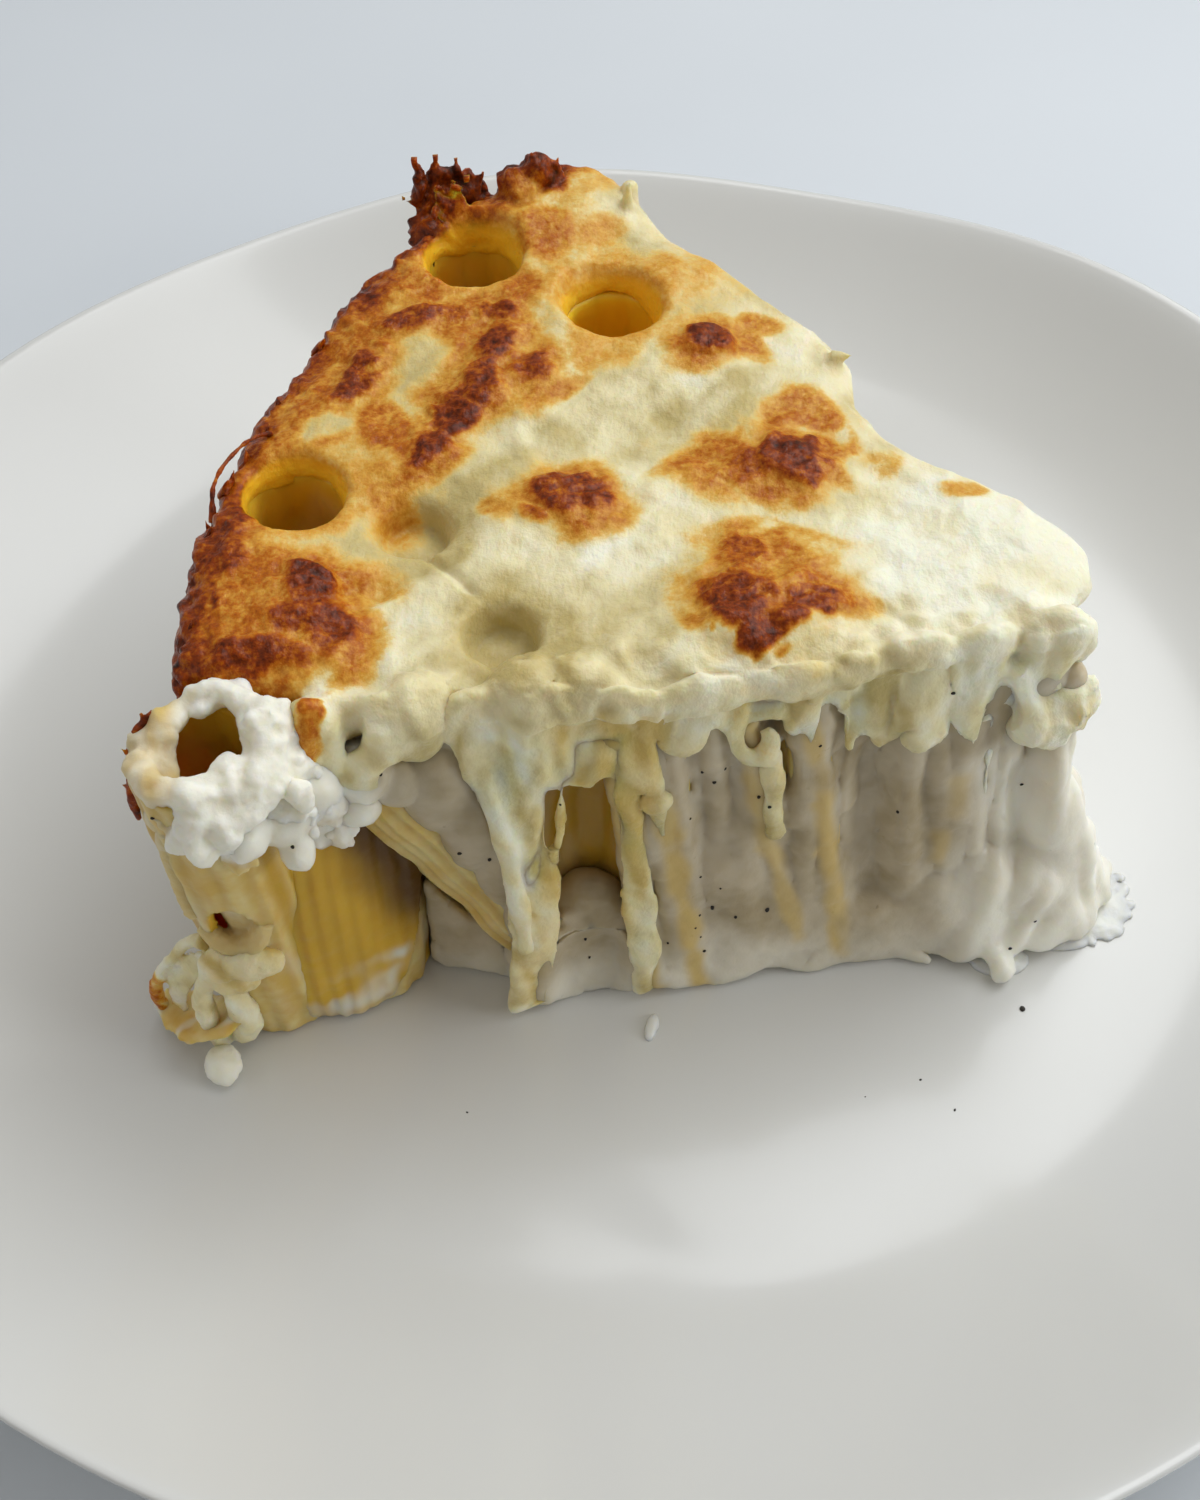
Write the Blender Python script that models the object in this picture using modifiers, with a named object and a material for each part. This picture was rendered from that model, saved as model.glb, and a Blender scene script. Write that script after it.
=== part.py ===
"""Slice of rigatoni pie on its plate.

Tubes of rigatoni stand on end, side by side, bound by white ricotta sauce
under a browned sheet of melted cheese.  The slice was cut from a round pie:
its tip points to +X, the pan side faces -X, and the cut that shows faces -Y.
Metres, +Z up, origin under the middle of the plate.
"""
import math

import bmesh
import bpy
import numpy as np
from mathutils import Matrix, Vector

MM = 0.001

# Driving dimensions, in millimetres.
PLATE_RADIUS = 125.5
PLATE_RIM_HEIGHT = 27.0
WELL_RADIUS = 79.0
WELL_HEIGHT = 7.0
FOOT_RADIUS = 66.0
FOOT_WIDTH = 6.0
PLATE_SIDES = 44

TUBE_RADIUS = 8.15
TUBE_WALL = 1.6
FRONT_RIDGES = 14
INNER_RIDGES = 10
RIDGE_DEPTH = 0.4
ROOM_SIDES = 12
LEAN_ROOM = 1.5
TUBE_TOP = 53.2
MOUTH_TOP = 57.4
SAUCE_BASE = 1.2

PAN_RADIUS = 102.0
TIP = (50.0, -25.0)
FRONT_BEARING = 189.35
CHEESE_UNDERSIDE = 53.7
CHEESE_TOP = 60.5

FRONT_FOOT = 9.0
FRONT_HEAD = 4.0

GAP = 0.35
FLOOR = 0.35

# Places where the cheese has sunk into the tube below it, and the sunken
# cup's half section from its floor up.
PIT_CENTERS = ((-26.0, -12.5), (-15.0, -29.5))
PIT_ROOM = ((0.0, 58.0), (4.95, 58.0), (4.9, 50.0), (4.0, 46.5), (0.0, 45.2))
PIT_CUP = ((0.0, 57.0), (4.55, 57.0), (4.5, 50.2), (3.6, 47.0), (0.0, 45.7))
PIT_BOWL = ((0.0, 72.0), (8.5, 72.0), (7.0, 61.5), (4.6, 58.5), (3.6, 54.5), (3.2, 50.0),
            (2.4, 48.2), (0.0, 47.4))

PARTS = "rigatoni_pie_slice"
CUTTERS = "cutters"


# ---------------------------------------------------------------- helpers

def make_collection(name):
    collection = bpy.data.collections.new(name)
    bpy.context.scene.collection.children.link(collection)
    return collection


def make_material(name, color, roughness, subsurface=0.0):
    material = bpy.data.materials.new(name)
    material.use_nodes = True
    shader = material.node_tree.nodes["Principled BSDF"]
    shader.inputs["Base Color"].default_value = (*color, 1.0)
    shader.inputs["Roughness"].default_value = roughness
    shader.inputs["Metallic"].default_value = 0.0
    shader.inputs["Subsurface Weight"].default_value = subsurface
    material.diffuse_color = (*color, 1.0)
    return material


def to_world(points):
    """Turn (x, y, z) in mm above the plate's well into world metres."""
    return [(x * MM, y * MM, (z + WELL_HEIGHT) * MM) for x, y, z in points]


def object_from_bmesh(bm, name, collection, material=None):
    bm.normal_update()
    bmesh.ops.recalc_face_normals(bm, faces=bm.faces)
    mesh = bpy.data.meshes.new(name)
    bm.to_mesh(mesh)
    bm.free()
    obj = bpy.data.objects.new(name, mesh)
    collection.objects.link(obj)
    if material is not None:
        mesh.materials.append(material)
    return obj


def face_outward(mesh):
    bm = bmesh.new()
    bm.from_mesh(mesh)
    bm.normal_update()
    bmesh.ops.recalc_face_normals(bm, faces=bm.faces)
    bm.to_mesh(mesh)
    bm.free()


def apply_modifiers(obj):
    """Freeze an object's modifiers into its mesh."""
    graph = bpy.context.evaluated_depsgraph_get()
    mesh = bpy.data.meshes.new_from_object(obj.evaluated_get(graph))
    obj.modifiers.clear()
    obj.data = mesh


def as_cutter(obj):
    obj.hide_render = True
    obj.display_type = "WIRE"
    return obj


def subtract(obj, cutter, solver="EXACT"):
    modifier = obj.modifiers.new("cut_" + cutter.name, "BOOLEAN")
    modifier.operation = "DIFFERENCE"
    modifier.solver = solver
    modifier.object = cutter


def carve(obj, cutters):
    """Cut a much united body, by the solver that holds up where EXACT tears."""
    for cutter in cutters:
        subtract(obj, cutter, "MANIFOLD")
    apply_modifiers(obj)
    keep_largest_body(obj)


def unite(name, shapes, collection, material):
    """Join closed shapes into one body with a single collection union."""
    group = bpy.data.collections.new(name + "_shapes")
    bpy.context.scene.collection.children.link(group)
    body = shapes[0]
    for shape in shapes[1:]:
        for owner in shape.users_collection:
            owner.objects.unlink(shape)
        group.objects.link(shape)
    modifier = body.modifiers.new("union", "BOOLEAN")
    modifier.operation = "UNION"
    modifier.solver = "MANIFOLD"
    modifier.operand_type = "COLLECTION"
    modifier.collection = group
    apply_modifiers(body)
    for shape in list(group.objects):
        bpy.data.objects.remove(shape)
    bpy.data.collections.remove(group)
    for owner in body.users_collection:
        owner.objects.unlink(body)
    collection.objects.link(body)
    body.name = name
    body.data.materials.clear()
    body.data.materials.append(material)
    return body


def keep_largest_body(obj):
    """Drop the loose scraps that a cut leaves."""
    bm = bmesh.new()
    bm.from_mesh(obj.data)
    bm.verts.ensure_lookup_table()
    seen = set()
    bodies = []
    for start in bm.verts:
        if start.index in seen:
            continue
        body = [start]
        seen.add(start.index)
        for vert in body:
            for edge in vert.link_edges:
                other = edge.other_vert(vert)
                if other.index not in seen:
                    seen.add(other.index)
                    body.append(other)
        bodies.append(body)
    bodies.sort(key=len)
    scraps = [vert for body in bodies[:-1] for vert in body]
    bmesh.ops.delete(bm, geom=scraps, context="VERTS")
    bm.to_mesh(obj.data)
    bm.free()


def smoothstep(x, low, high):
    t = min(max((x - low) / (high - low), 0.0), 1.0)
    return t * t * (3.0 - 2.0 * t)


def closed_curve(points, samples):
    """Catmull-Rom curve through points, closed, as an array of samples."""
    points = np.array(points, dtype=float)
    count = len(points)
    out = []
    for step in range(samples):
        place = step * count / samples
        i = int(place)
        t = place - i
        a, b, c, d = (points[(i + k - 1) % count] for k in range(4))
        out.append(0.5 * (2 * b + (c - a) * t + (2 * a - 5 * b + 4 * c - d) * t ** 2
                          + (3 * b - a - 3 * c + d) * t ** 3))
    return np.array(out)


def loft(rows, name, collection):
    """Closed body through rings of points, capped flat at both ends."""
    bm = bmesh.new()
    rings = [[bm.verts.new(point) for point in to_world(row)] for row in rows]
    count = len(rings[0])
    for low, high in zip(rings, rings[1:]):
        for i in range(count):
            j = (i + 1) % count
            bm.faces.new((low[i], low[j], high[j], high[i]))
    bm.faces.new(list(reversed(rings[0])))
    bm.faces.new(rings[-1])
    bmesh.ops.triangulate(bm, faces=[face for face in bm.faces if len(face.verts) > 4])
    return object_from_bmesh(bm, name, collection)


def blob(center, radii, name, collection, extra=0.0, detail=2, turn=0.0):
    """Rounded lump: a sphere of few sides, stretched and turned about Z."""
    bm = bmesh.new()
    bmesh.ops.create_icosphere(bm, subdivisions=detail, radius=1.0)
    scale = Matrix.Diagonal([(radius + extra) * MM for radius in radii]).to_4x4()
    bm.transform(Matrix.Translation(to_world([center])[0])
                 @ Matrix.Rotation(math.radians(turn), 4, "Z") @ scale)
    return object_from_bmesh(bm, name, collection)


def strand(points, radii, name, collection, extra=0.0, sides=8):
    """Round string or drip along points, with its own radius at each."""
    path = [Vector(point) for point in points]
    rows = []
    for i, center in enumerate(path):
        along = path[min(i + 1, len(path) - 1)] - path[max(i - 1, 0)]
        along.normalize()
        side = along.cross(Vector((0.0, 1.0, 0.0))).normalized()
        other = along.cross(side)
        radius = radii[i] + extra
        ring = []
        for k in range(sides):
            turn = 2 * math.pi * k / sides
            ring.append(center + radius * (math.cos(turn) * side + math.sin(turn) * other))
        rows.append([tuple(point) for point in ring])
    return loft(rows, name, collection)


def lean(mesh, foot, head, squash=(1.0, 1.0)):
    """Squash an upright mesh and lean its Z axis onto the line foot to head."""
    start = Vector(to_world([foot])[0])
    axis = Vector(to_world([head])[0]) - start
    turn = Vector((0.0, 0.0, 1.0)).rotation_difference(axis.normalized()).to_matrix().to_4x4()
    flatten = Matrix.Diagonal((squash[0], squash[1], 1.0, 1.0))
    mesh.transform(Matrix.Translation(start) @ turn @ flatten)


def turned(profile, foot, head, name, collection, sides=16, squash=(1.0, 1.0)):
    """Body turned from (radius, height) points, its axis leaned onto a line."""
    bm = bmesh.new()
    verts = [bm.verts.new((radius * MM, 0.0, height * MM)) for radius, height in profile]
    for a, b in zip(verts, verts[1:]):
        bm.edges.new((a, b))
    mesh = bpy.data.meshes.new(name)
    bm.to_mesh(mesh)
    bm.free()
    obj = bpy.data.objects.new(name, mesh)
    collection.objects.link(obj)
    screw = obj.modifiers.new("turn", "SCREW")
    screw.steps = sides
    screw.render_steps = sides
    screw.use_merge_vertices = True
    screw.merge_threshold = 0.00001
    apply_modifiers(obj)
    lean(obj.data, foot, head, squash)
    return obj


# ------------------------------------------------------------------ plate

def plate_profile():
    """Half section of a coupe plate, from the well's middle round to the foot."""
    rise = PLATE_RIM_HEIGHT - WELL_HEIGHT
    span = PLATE_RADIUS - WELL_RADIUS
    points = [(0.0, WELL_HEIGHT), (WELL_RADIUS * 0.6, WELL_HEIGHT)]
    for step in range(6):
        t = step / 6
        points.append((WELL_RADIUS + (span - 1.4) * t, WELL_HEIGHT + (rise - 0.3) * t ** 1.9))
    points += [(PLATE_RADIUS - 1.0, PLATE_RIM_HEIGHT - 0.2), (PLATE_RADIUS, PLATE_RIM_HEIGHT - 1.2),
               (PLATE_RADIUS - 0.4, PLATE_RIM_HEIGHT - 2.6)]
    for step in range(1, 4):
        t = 1.0 - step / 4
        points.append((FOOT_RADIUS + 6 + (PLATE_RADIUS - FOOT_RADIUS - 7) * t,
                       2.6 + (rise - 1.0) * t ** 1.8))
    points += [(FOOT_RADIUS + 1.0, 2.4), (FOOT_RADIUS, 0.0), (FOOT_RADIUS - FOOT_WIDTH, 0.0),
               (FOOT_RADIUS - FOOT_WIDTH - 1.2, 2.2), (0.0, 2.6)]
    return points


def wave_rim(mesh):
    """Press the uneven, hand-thrown wave into the plate's rim."""
    for vert in mesh.vertices:
        radius = math.hypot(vert.co.x, vert.co.y) / MM
        bearing = math.atan2(vert.co.y, vert.co.x)
        hold = smoothstep(radius, WELL_RADIUS + 4, PLATE_RADIUS)
        ripple = 0.5 * math.cos(6 * bearing + 2.1) + 0.35 * math.cos(8 * bearing - 0.7)
        lift = 1.2 * ripple
        swell = 2.0 * math.cos(2 * bearing - 0.1) + ripple
        vert.co.z += hold * lift * MM
        vert.co.x += hold * swell * MM * math.cos(bearing)
        vert.co.y += hold * swell * MM * math.sin(bearing)


def make_plate(parts):
    plate = turned([(r, z - WELL_HEIGHT) for r, z in plate_profile()],
                   (0, 0, 0), (0, 0, 1), "plate", parts, sides=PLATE_SIDES)
    wave_rim(plate.data)
    plate.data.materials.append(make_material("glaze_white", (0.80, 0.79, 0.74), 0.12))
    return plate


# ---------------------------------------------------------------- rigatoni

def on_rim(bearing, radius):
    turn = math.radians(bearing)
    return TIP[0] + radius * math.cos(turn), TIP[1] + radius * math.sin(turn)


def tube_table():
    """Name -> (foot, head, squash): each tube's axis in mm over the well."""
    low = FLOOR + SAUCE_BASE + GAP
    plain = (1.0, 1.0)
    table = {
        "rigatoni_front_1": ((-47.4, -40.2, FLOOR), (-48.6, -44.8, 57.6), (0.95, 1.0)),
        "rigatoni_front_2": ((-36.6, -36.4, FLOOR), (-34.5, -33.8, 46.0), (1.1, 1.0)),
        "rigatoni_front_3": ((-7.4, -34.0, 2.0), (-30.5, -33.7, 44.5), plain),
        "rigatoni_front_4": ((-5.5, -43.5, low), (-5.0, -38.3, TUBE_TOP), plain),
        "rigatoni_front_5": ((16.0, -38.8, low), (11.8, -35.3, TUBE_TOP), plain),
        "rigatoni_front_6": ((35.6, -35.0, low), (28.5, -31.3, TUBE_TOP), plain),
        "rigatoni_front_7": ((51.6, -30.6, low), (45.2, -26.2, TUBE_TOP), (0.84, 1.0)),
    }
    rim_tops = (TUBE_TOP, MOUTH_TOP, TUBE_TOP, TUBE_TOP, MOUTH_TOP + 2.5, TUBE_TOP)
    for k, top in enumerate(rim_tops):
        reach = 1.6 if k == 4 else 0.0
        x, y = on_rim(179.2 - 10.35 * k + 0.5 * reach, PAN_RADIUS - 9.4 + reach)
        table["rigatoni_rim_%d" % (k + 1)] = ((x, y, low), (x, y, top), plain)
    backs = ((-1.5, 27.0, MOUTH_TOP + 1.0), (14.8, 22.5, TUBE_TOP), (19.8, 6.2, TUBE_TOP),
             (29.9, -8.0, TUBE_TOP))
    for k, (x, y, top) in enumerate(backs):
        table["rigatoni_back_%d" % (k + 1)] = ((x, y, low), (x, y, top), plain)
    return table


def tube_body(name, spec, parts, material):
    """Ridged open cylinder with its wall's thickness, leaned onto its axis."""
    foot, head, squash = spec
    ridges = FRONT_RIDGES if "front" in name else INNER_RIDGES
    spare = 0.0 if foot[:2] == head[:2] else 6.0
    length = (Vector(head) - Vector(foot)).length + 2 * spare
    bm = bmesh.new()
    bmesh.ops.create_cone(bm, cap_ends=False, segments=2 * ridges, radius1=TUBE_RADIUS * MM,
                          radius2=TUBE_RADIUS * MM, depth=length * MM)
    bmesh.ops.translate(bm, verts=bm.verts, vec=(0.0, 0.0, (length * 0.5 - spare) * MM))
    for vert in bm.verts:
        step = round(math.atan2(vert.co.y, vert.co.x) * ridges / math.pi)
        shrink = 1.0 - (RIDGE_DEPTH / TUBE_RADIUS if step % 2 else 0.0)
        vert.co.x *= shrink
        vert.co.y *= shrink
    tube = object_from_bmesh(bm, name, parts, material)
    solidify = tube.modifiers.new("wall", "SOLIDIFY")
    solidify.thickness = TUBE_WALL * MM
    solidify.offset = -1.0
    apply_modifiers(tube)
    lean(tube.data, foot, head, squash)
    face_outward(tube.data)
    return tube


def tube_clearance(name, spec, cutters, plug_to=None, beyond=8.0, below=8.0):
    """Cutter that makes room for a tube; plug_to leaves sauce in its bore."""
    foot, head, squash = spec
    length = (Vector(head) - Vector(foot)).length + beyond
    outer = (TUBE_RADIUS + GAP / squash[0]) / math.cos(math.pi / ROOM_SIDES)
    inner = TUBE_RADIUS - TUBE_WALL - RIDGE_DEPTH - GAP
    profile = [(0.0, length), (outer, length), (outer, -below)]
    if plug_to is None:
        profile += [(0.0, -below)]
    else:
        profile += [(inner, -below), (inner, plug_to), (0.0, plug_to + 2.0)]
    cutter = turned(profile, foot, head, "room_" + name, cutters, ROOM_SIDES, squash)
    return as_cutter(cutter)


def half_space(name, point, normal, cutters, size=160.0):
    """Box whose face passes through point; what lies along normal is cut away."""
    bm = bmesh.new()
    bmesh.ops.create_cube(bm, size=size * MM)
    turn = Vector(normal).to_track_quat("Z", "Y")
    shift = Matrix.Translation((0.0, 0.0, size * 0.5 * MM))
    bm.transform(Matrix.Translation(to_world([point])[0]) @ turn.to_matrix().to_4x4() @ shift)
    return as_cutter(object_from_bmesh(bm, name, cutters))


def front_place(along, out, z):
    """Point by its distance from the tip along the front and out of it."""
    turn = math.radians(FRONT_BEARING)
    x = TIP[0] + along * math.cos(turn) - out * math.sin(turn)
    y = TIP[1] + along * math.sin(turn) + out * math.cos(turn)
    return x, y, z


def front_cut(cutters):
    """Knife plane of the front: its foot stands further out than its head."""
    turn = math.radians(FRONT_BEARING)
    lean = (FRONT_FOOT - FRONT_HEAD) / CHEESE_UNDERSIDE
    normal = (-math.sin(turn), math.cos(turn), lean)
    return half_space("knife_front", front_place(50.0, FRONT_FOOT, 0.0), normal, cutters)


def make_rigatoni(table, parts, cutters):
    """Make every tube, trimmed by the knife, the plate and its neighbours."""
    pasta = make_material("pasta", (0.80, 0.62, 0.30), 0.38, 0.2)
    knife = front_cut(cutters)
    slant = half_space("knife_slant", (-36.5, -45.4, 0.0), (0.3, -1.0, 0.42), cutters)
    floor = half_space("floor", (0.0, 0.0, FLOOR), (0.0, 0.0, -1.0), cutters, 300.0)
    rip = as_cutter(blob((-48.5, -51.0, 27.0), (3.4, 4.2, 7.0), "rip", cutters, turn=20.0))
    whole = {name: tube_clearance(name, spec, cutters) for name, spec in table.items()}
    trims = {
        "rigatoni_front_1": (floor, rip),
        "rigatoni_front_2": (floor, slant, whole["rigatoni_front_1"], whole["rigatoni_front_3"]),
        "rigatoni_front_3": (floor, whole["rigatoni_front_4"]),
        "rigatoni_rim_1": (whole["rigatoni_front_2"], whole["rigatoni_front_3"]),
    }
    base = half_space("base", (0.0, 0.0, FLOOR + SAUCE_BASE + GAP), (0.0, 0.0, -1.0), cutters, 300.0)
    for name in ("rigatoni_front_4", "rigatoni_front_5", "rigatoni_front_6", "rigatoni_front_7"):
        trims[name] = (base, knife)
    for name, spec in table.items():
        foot, head, _ = spec
        tube = tube_body(name, spec, parts, pasta)
        for cutter in trims.get(name, ()):
            subtract(tube, cutter)
        if foot[:2] != head[:2]:
            subtract(tube, half_space("top_" + name, head, (0.0, 0.0, 1.0), cutters))
        if tube.modifiers:
            apply_modifiers(tube)
            keep_largest_body(tube)
    return whole, floor


# --------------------------------------------------------- ricotta filling

# Outline of the filling: x and y at its top, x and y at its foot, and how
# quickly the foot's spread dies away going up.
FILLING_OUTLINE = (
    (-31.0, -38.0, -27.0, -37.5, 1.0), (-19.0, -39.5, -18.0, -39.5, 1.0),
    (-13.5, -38.6, -14.6, -43.4, 1.0), (-5.0, -37.0, -5.5, -42.2, 1.0),
    (4.0, -35.6, 4.0, -41.2, 1.0), (18.0, -33.3, 20.0, -39.8, 1.2),
    (34.0, -30.7, 40.0, -37.0, 1.2), (46.0, -27.7, 56.5, -35.0, 1.4),
    (52.5, -22.8, 68.0, -29.5, 2.2), (51.0, -17.0, 66.0, -18.0, 2.6),
    (44.5, -10.0, 50.0, -8.0, 2.0), (36.5, -3.0, 41.0, 0.5, 1.6),
    (28.3, 5.5, 31.0, 7.5, 1.4), (26.0, 17.5, 28.5, 19.0, 1.4),
    (18.5, 28.5, 20.0, 30.0, 1.4), (8.5, 38.8, 9.5, 40.5, 1.4),
    (0.8, 49.0, 1.5, 50.8, 1.2), (-7.6, 56.2, -7.6, 57.0, 1.0),
    (-20.9, 45.6, -20.9, 45.6, 1.0), (-34.0, 30.4, -34.0, 30.4, 1.0),
    (-44.0, 11.4, -44.0, 11.4, 1.0), (-49.2, -7.7, -49.2, -7.7, 1.0),
    (-50.0, -27.0, -50.2, -27.0, 1.0), (-48.5, -35.0, -47.5, -33.0, 1.0),
    (-41.0, -37.5, -41.5, -33.0, 1.0),
)
FILLING_LEVELS = (0.0, 1.5, 4.5, 10.0, 18.0, 27.0, 37.0, 46.0, 52.8)
FILLING_COLUMNS = 54


def filling_wedge(collection, extra=0.0):
    """Wedge of ricotta sauce: flared at its foot, with soft uneven sides."""
    table = np.array(FILLING_OUTLINE)
    heads = closed_curve(table[:, 0:2], FILLING_COLUMNS)
    feet = closed_curve(table[:, 2:4], FILLING_COLUMNS)
    slump = closed_curve(table[:, 4:5], FILLING_COLUMNS)[:, 0]
    top = FILLING_LEVELS[-1]
    rows = []
    for z in FILLING_LEVELS:
        share = (1.0 - z / top) ** slump
        ring = heads + (feet - heads) * share[:, None]
        ahead = np.roll(ring, -1, axis=0) - np.roll(ring, 1, axis=0)
        outward = np.stack([ahead[:, 1], -ahead[:, 0]], axis=1)
        outward /= np.linalg.norm(outward, axis=1)[:, None]
        place = np.arange(FILLING_COLUMNS)
        ripple = 0.35 * np.sin(1.2 * place + 0.11 * z) + 0.3 * np.sin(0.5 * place - 0.23 * z)
        tuck = -1.0 if z == 0.0 else 0.0
        ring = ring + outward * (ripple + extra + tuck)[:, None]
        height = FLOOR + z + (extra if z == top else 0.0) - (0.8 if z == 0.0 else 0.0)
        rows.append([(x, y, height) for x, y in ring])
    return loft(rows, "filling_wedge", collection)


def filling_lumps(collection, extra=0.0):
    """Curds, foot lumps and drips of sauce that stand on the wedge."""
    shapes = []
    curds = (
        ((-40.5, -42.5, 55.5), (3.4, 3.0, 3.0)), ((-36.6, -44.5, 50.0), (3.6, 3.2, 4.2)),
        ((-39.5, -47.6, 48.5), (3.6, 3.2, 3.6)), ((-43.0, -50.8, 50.2), (3.4, 2.4, 3.0)),
        ((-45.5, -51.8, 46.0), (2.4, 2.2, 2.6)), ((-38.5, -49.0, 44.5), (2.6, 2.2, 3.2)),
        ((-36.0, -42.0, 43.0), (3.6, 4.6, 7.0)), ((-31.5, -41.0, 49.0), (4.4, 4.0, 4.0)),
        ((-32.0, -43.2, 44.5), (2.4, 2.2, 2.2)), ((-50.5, -37.4, 54.0), (3.0, 2.6, 3.0)),
    )
    for k, (center, radii) in enumerate(curds):
        shapes.append(blob(center, radii, "curd_%d" % k, collection, extra, 1, 25.0 * k))
    feet = (
        ((-5.5, -43.2, 6.0), (7.6, 2.6, 9.5)), ((12.0, -40.0, 1.6), (6.0, 3.0, 2.6)),
        ((25.0, -38.6, 2.0), (5.0, 3.2, 3.2)), ((33.0, -37.2, 2.6), (4.4, 3.0, 3.4)),
        ((45.0, -36.6, 2.2), (5.2, 3.4, 3.0)), ((55.5, -34.5, 2.8), (5.0, 3.4, 3.6)),
        ((61.5, -29.0, 3.0), (5.4, 4.4, 3.6)), ((-24.5, -35.5, 2.0), (4.0, 3.0, 2.4)),
    )
    for k, (center, radii) in enumerate(feet):
        detail = 2 if k in (0, 5, 6) else 1
        shapes.append(blob(center, radii, "foot_%d" % k, collection, extra, detail, 10.0))
    drips = (
        (((48.5, -33.0, 4.0), (49.5, -36.5, 2.8), (50.4, -39.6, 2.0), (50.8, -42.0, 1.9)),
         (2.6, 2.1, 1.5, 1.7)),
        (((27.0, -38.5, 44.0), (27.4, -39.4, 36.0), (27.8, -39.6, 28.0)), (1.0, 1.2, 1.5)),
        (((41.5, -33.4, 40.0), (42.5, -34.6, 28.0), (44.0, -36.0, 12.0)), (1.1, 0.9, 1.3)),
    )
    for k, (points, radii) in enumerate(drips):
        shapes.append(strand(points, radii, "drip_%d" % k, collection, extra, 6))
    return shapes


def make_filling(table, whole, floor, parts, cutters):
    sauce = make_material("ricotta", (0.86, 0.82, 0.74), 0.42, 0.3)
    body = unite("filling", [filling_wedge(parts)] + filling_lumps(parts), parts, sauce)
    plugs = {"rigatoni_front_3": 48.0, "rigatoni_front_4": 15.0, "rigatoni_front_5": TUBE_TOP,
             "rigatoni_front_6": TUBE_TOP, "rigatoni_front_7": TUBE_TOP}
    base = half_space("base_top", (0.0, 0.0, FLOOR + SAUCE_BASE), (0.0, 0.0, -1.0), cutters, 300.0)
    rooms = [floor]
    for name, spec in table.items():
        if name == "rigatoni_front_1":
            room = whole[name]
        elif name == "rigatoni_front_2":
            room = tube_clearance(name, spec, cutters, beyond=GAP)
        elif name == "rigatoni_front_3":
            room = tube_clearance(name, spec, cutters, plugs[name], 4.0)
        else:
            room = tube_clearance(name, spec, cutters, plugs.get(name), 4.0)
            subtract(room, base)
            apply_modifiers(room)
        rooms.append(room)
    for k, center in enumerate(PIT_CENTERS):
        rooms.append(as_cutter(turned(PIT_ROOM, (*center, 0.0), (*center, 1.0),
                                      "cup_room_%d" % k, cutters)))
    carve(body, rooms)
    return body


# ------------------------------------------------------------ cheese crust

CHEESE_OUTLINE = (
    (-45.5, -36.8), (-37.0, -38.2), (-27.0, -39.2), (-19.0, -38.0), (-13.5, -37.6),
    (-8.0, -39.4), (1.0, -39.0), (9.5, -38.0), (18.5, -36.2), (28.0, -31.6), (37.0, -29.6),
    (47.0, -27.8), (53.0, -24.0), (54.6, -17.0), (50.0, -10.5), (43.5, -5.0), (37.0, -0.5),
    (30.2, 6.5), (29.2, 17.6), (21.5, 29.6), (13.0, 37.0), (6.0, 43.6), (1.2, 52.0),
    (-6.5, 58.8),
)
# Swells and hollows of the sheet: x, y, height, spread.
CHEESE_RELIEF = (
    (-14.0, 50.0, 4.5, 27.0), (-43.0, -25.0, 2.0, 9.0), (-30.5, -25.0, -2.4, 4.5),
    (-26.0, -12.5, -2.0, 7.0), (-15.0, -29.5, -2.2, 7.0), (-7.4, -10.1, 1.3, 5.0),
    (20.3, -3.7, 1.3, 6.0), (16.0, -27.0, 1.4, 6.5), (11.1, 18.6, 1.3, 4.5),
    (-18.0, 10.0, 1.4, 7.0), (-31.0, 18.0, 1.0, 6.0), (5.0, 3.0, -1.4, 8.0),
    (-1.0, -22.0, -1.2, 7.0), (33.0, -15.0, -1.0, 8.0), (57.0, -20.0, -1.8, 11.0),
    (-1.0, 40.0, -0.8, 7.0),
)
CHEESE_COLUMNS = 52
CHEESE_RINGS = (1.0, 0.96, 0.87, 0.75, 0.62, 0.49, 0.35, 0.18)
CHEESE_MIDDLE = (-10.0, 0.0)
RIM_CRUST_STEPS = 26


def cheese_height(x, y):
    """Height of the melted sheet's upper face."""
    height = CHEESE_TOP + 0.25 * math.sin(0.45 * x + 0.3 * y) * math.sin(0.38 * y)
    for cx, cy, rise, spread in CHEESE_RELIEF:
        height += rise * math.exp(-((x - cx) ** 2 + (y - cy) ** 2) / spread ** 2)
    return height


def cheese_sheet(collection):
    """Melted sheet: rings that shrink from its rounded edge to its middle."""
    points = list(CHEESE_OUTLINE)
    points += [on_rim(bearing, PAN_RADIUS + 0.3) for bearing in (131, 141, 151, 161, 171, 180, 186.5)]
    edge = closed_curve(points, CHEESE_COLUMNS)
    middle = np.array(CHEESE_MIDDLE)
    place = np.arange(CHEESE_COLUMNS)
    rag = 0.35 * np.sin(2.1 * place) + 0.3 * np.sin(0.9 * place + 1.0)
    away = edge - middle
    away /= np.linalg.norm(away, axis=1)[:, None]
    edge = edge + away * rag[:, None]
    rows = [[(x, y, CHEESE_UNDERSIDE) for x, y in middle + (edge - middle) * 0.985],
            [(x, y, CHEESE_UNDERSIDE + 0.9) for x, y in edge]]
    for share in CHEESE_RINGS:
        drop = 2.2 * max((share - 0.9) / 0.1, 0.0) ** 2
        rows.append([(x, y, cheese_height(x, y) - drop) for x, y in middle + (edge - middle) * share])
    return loft(rows, "cheese_sheet", collection)


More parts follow.
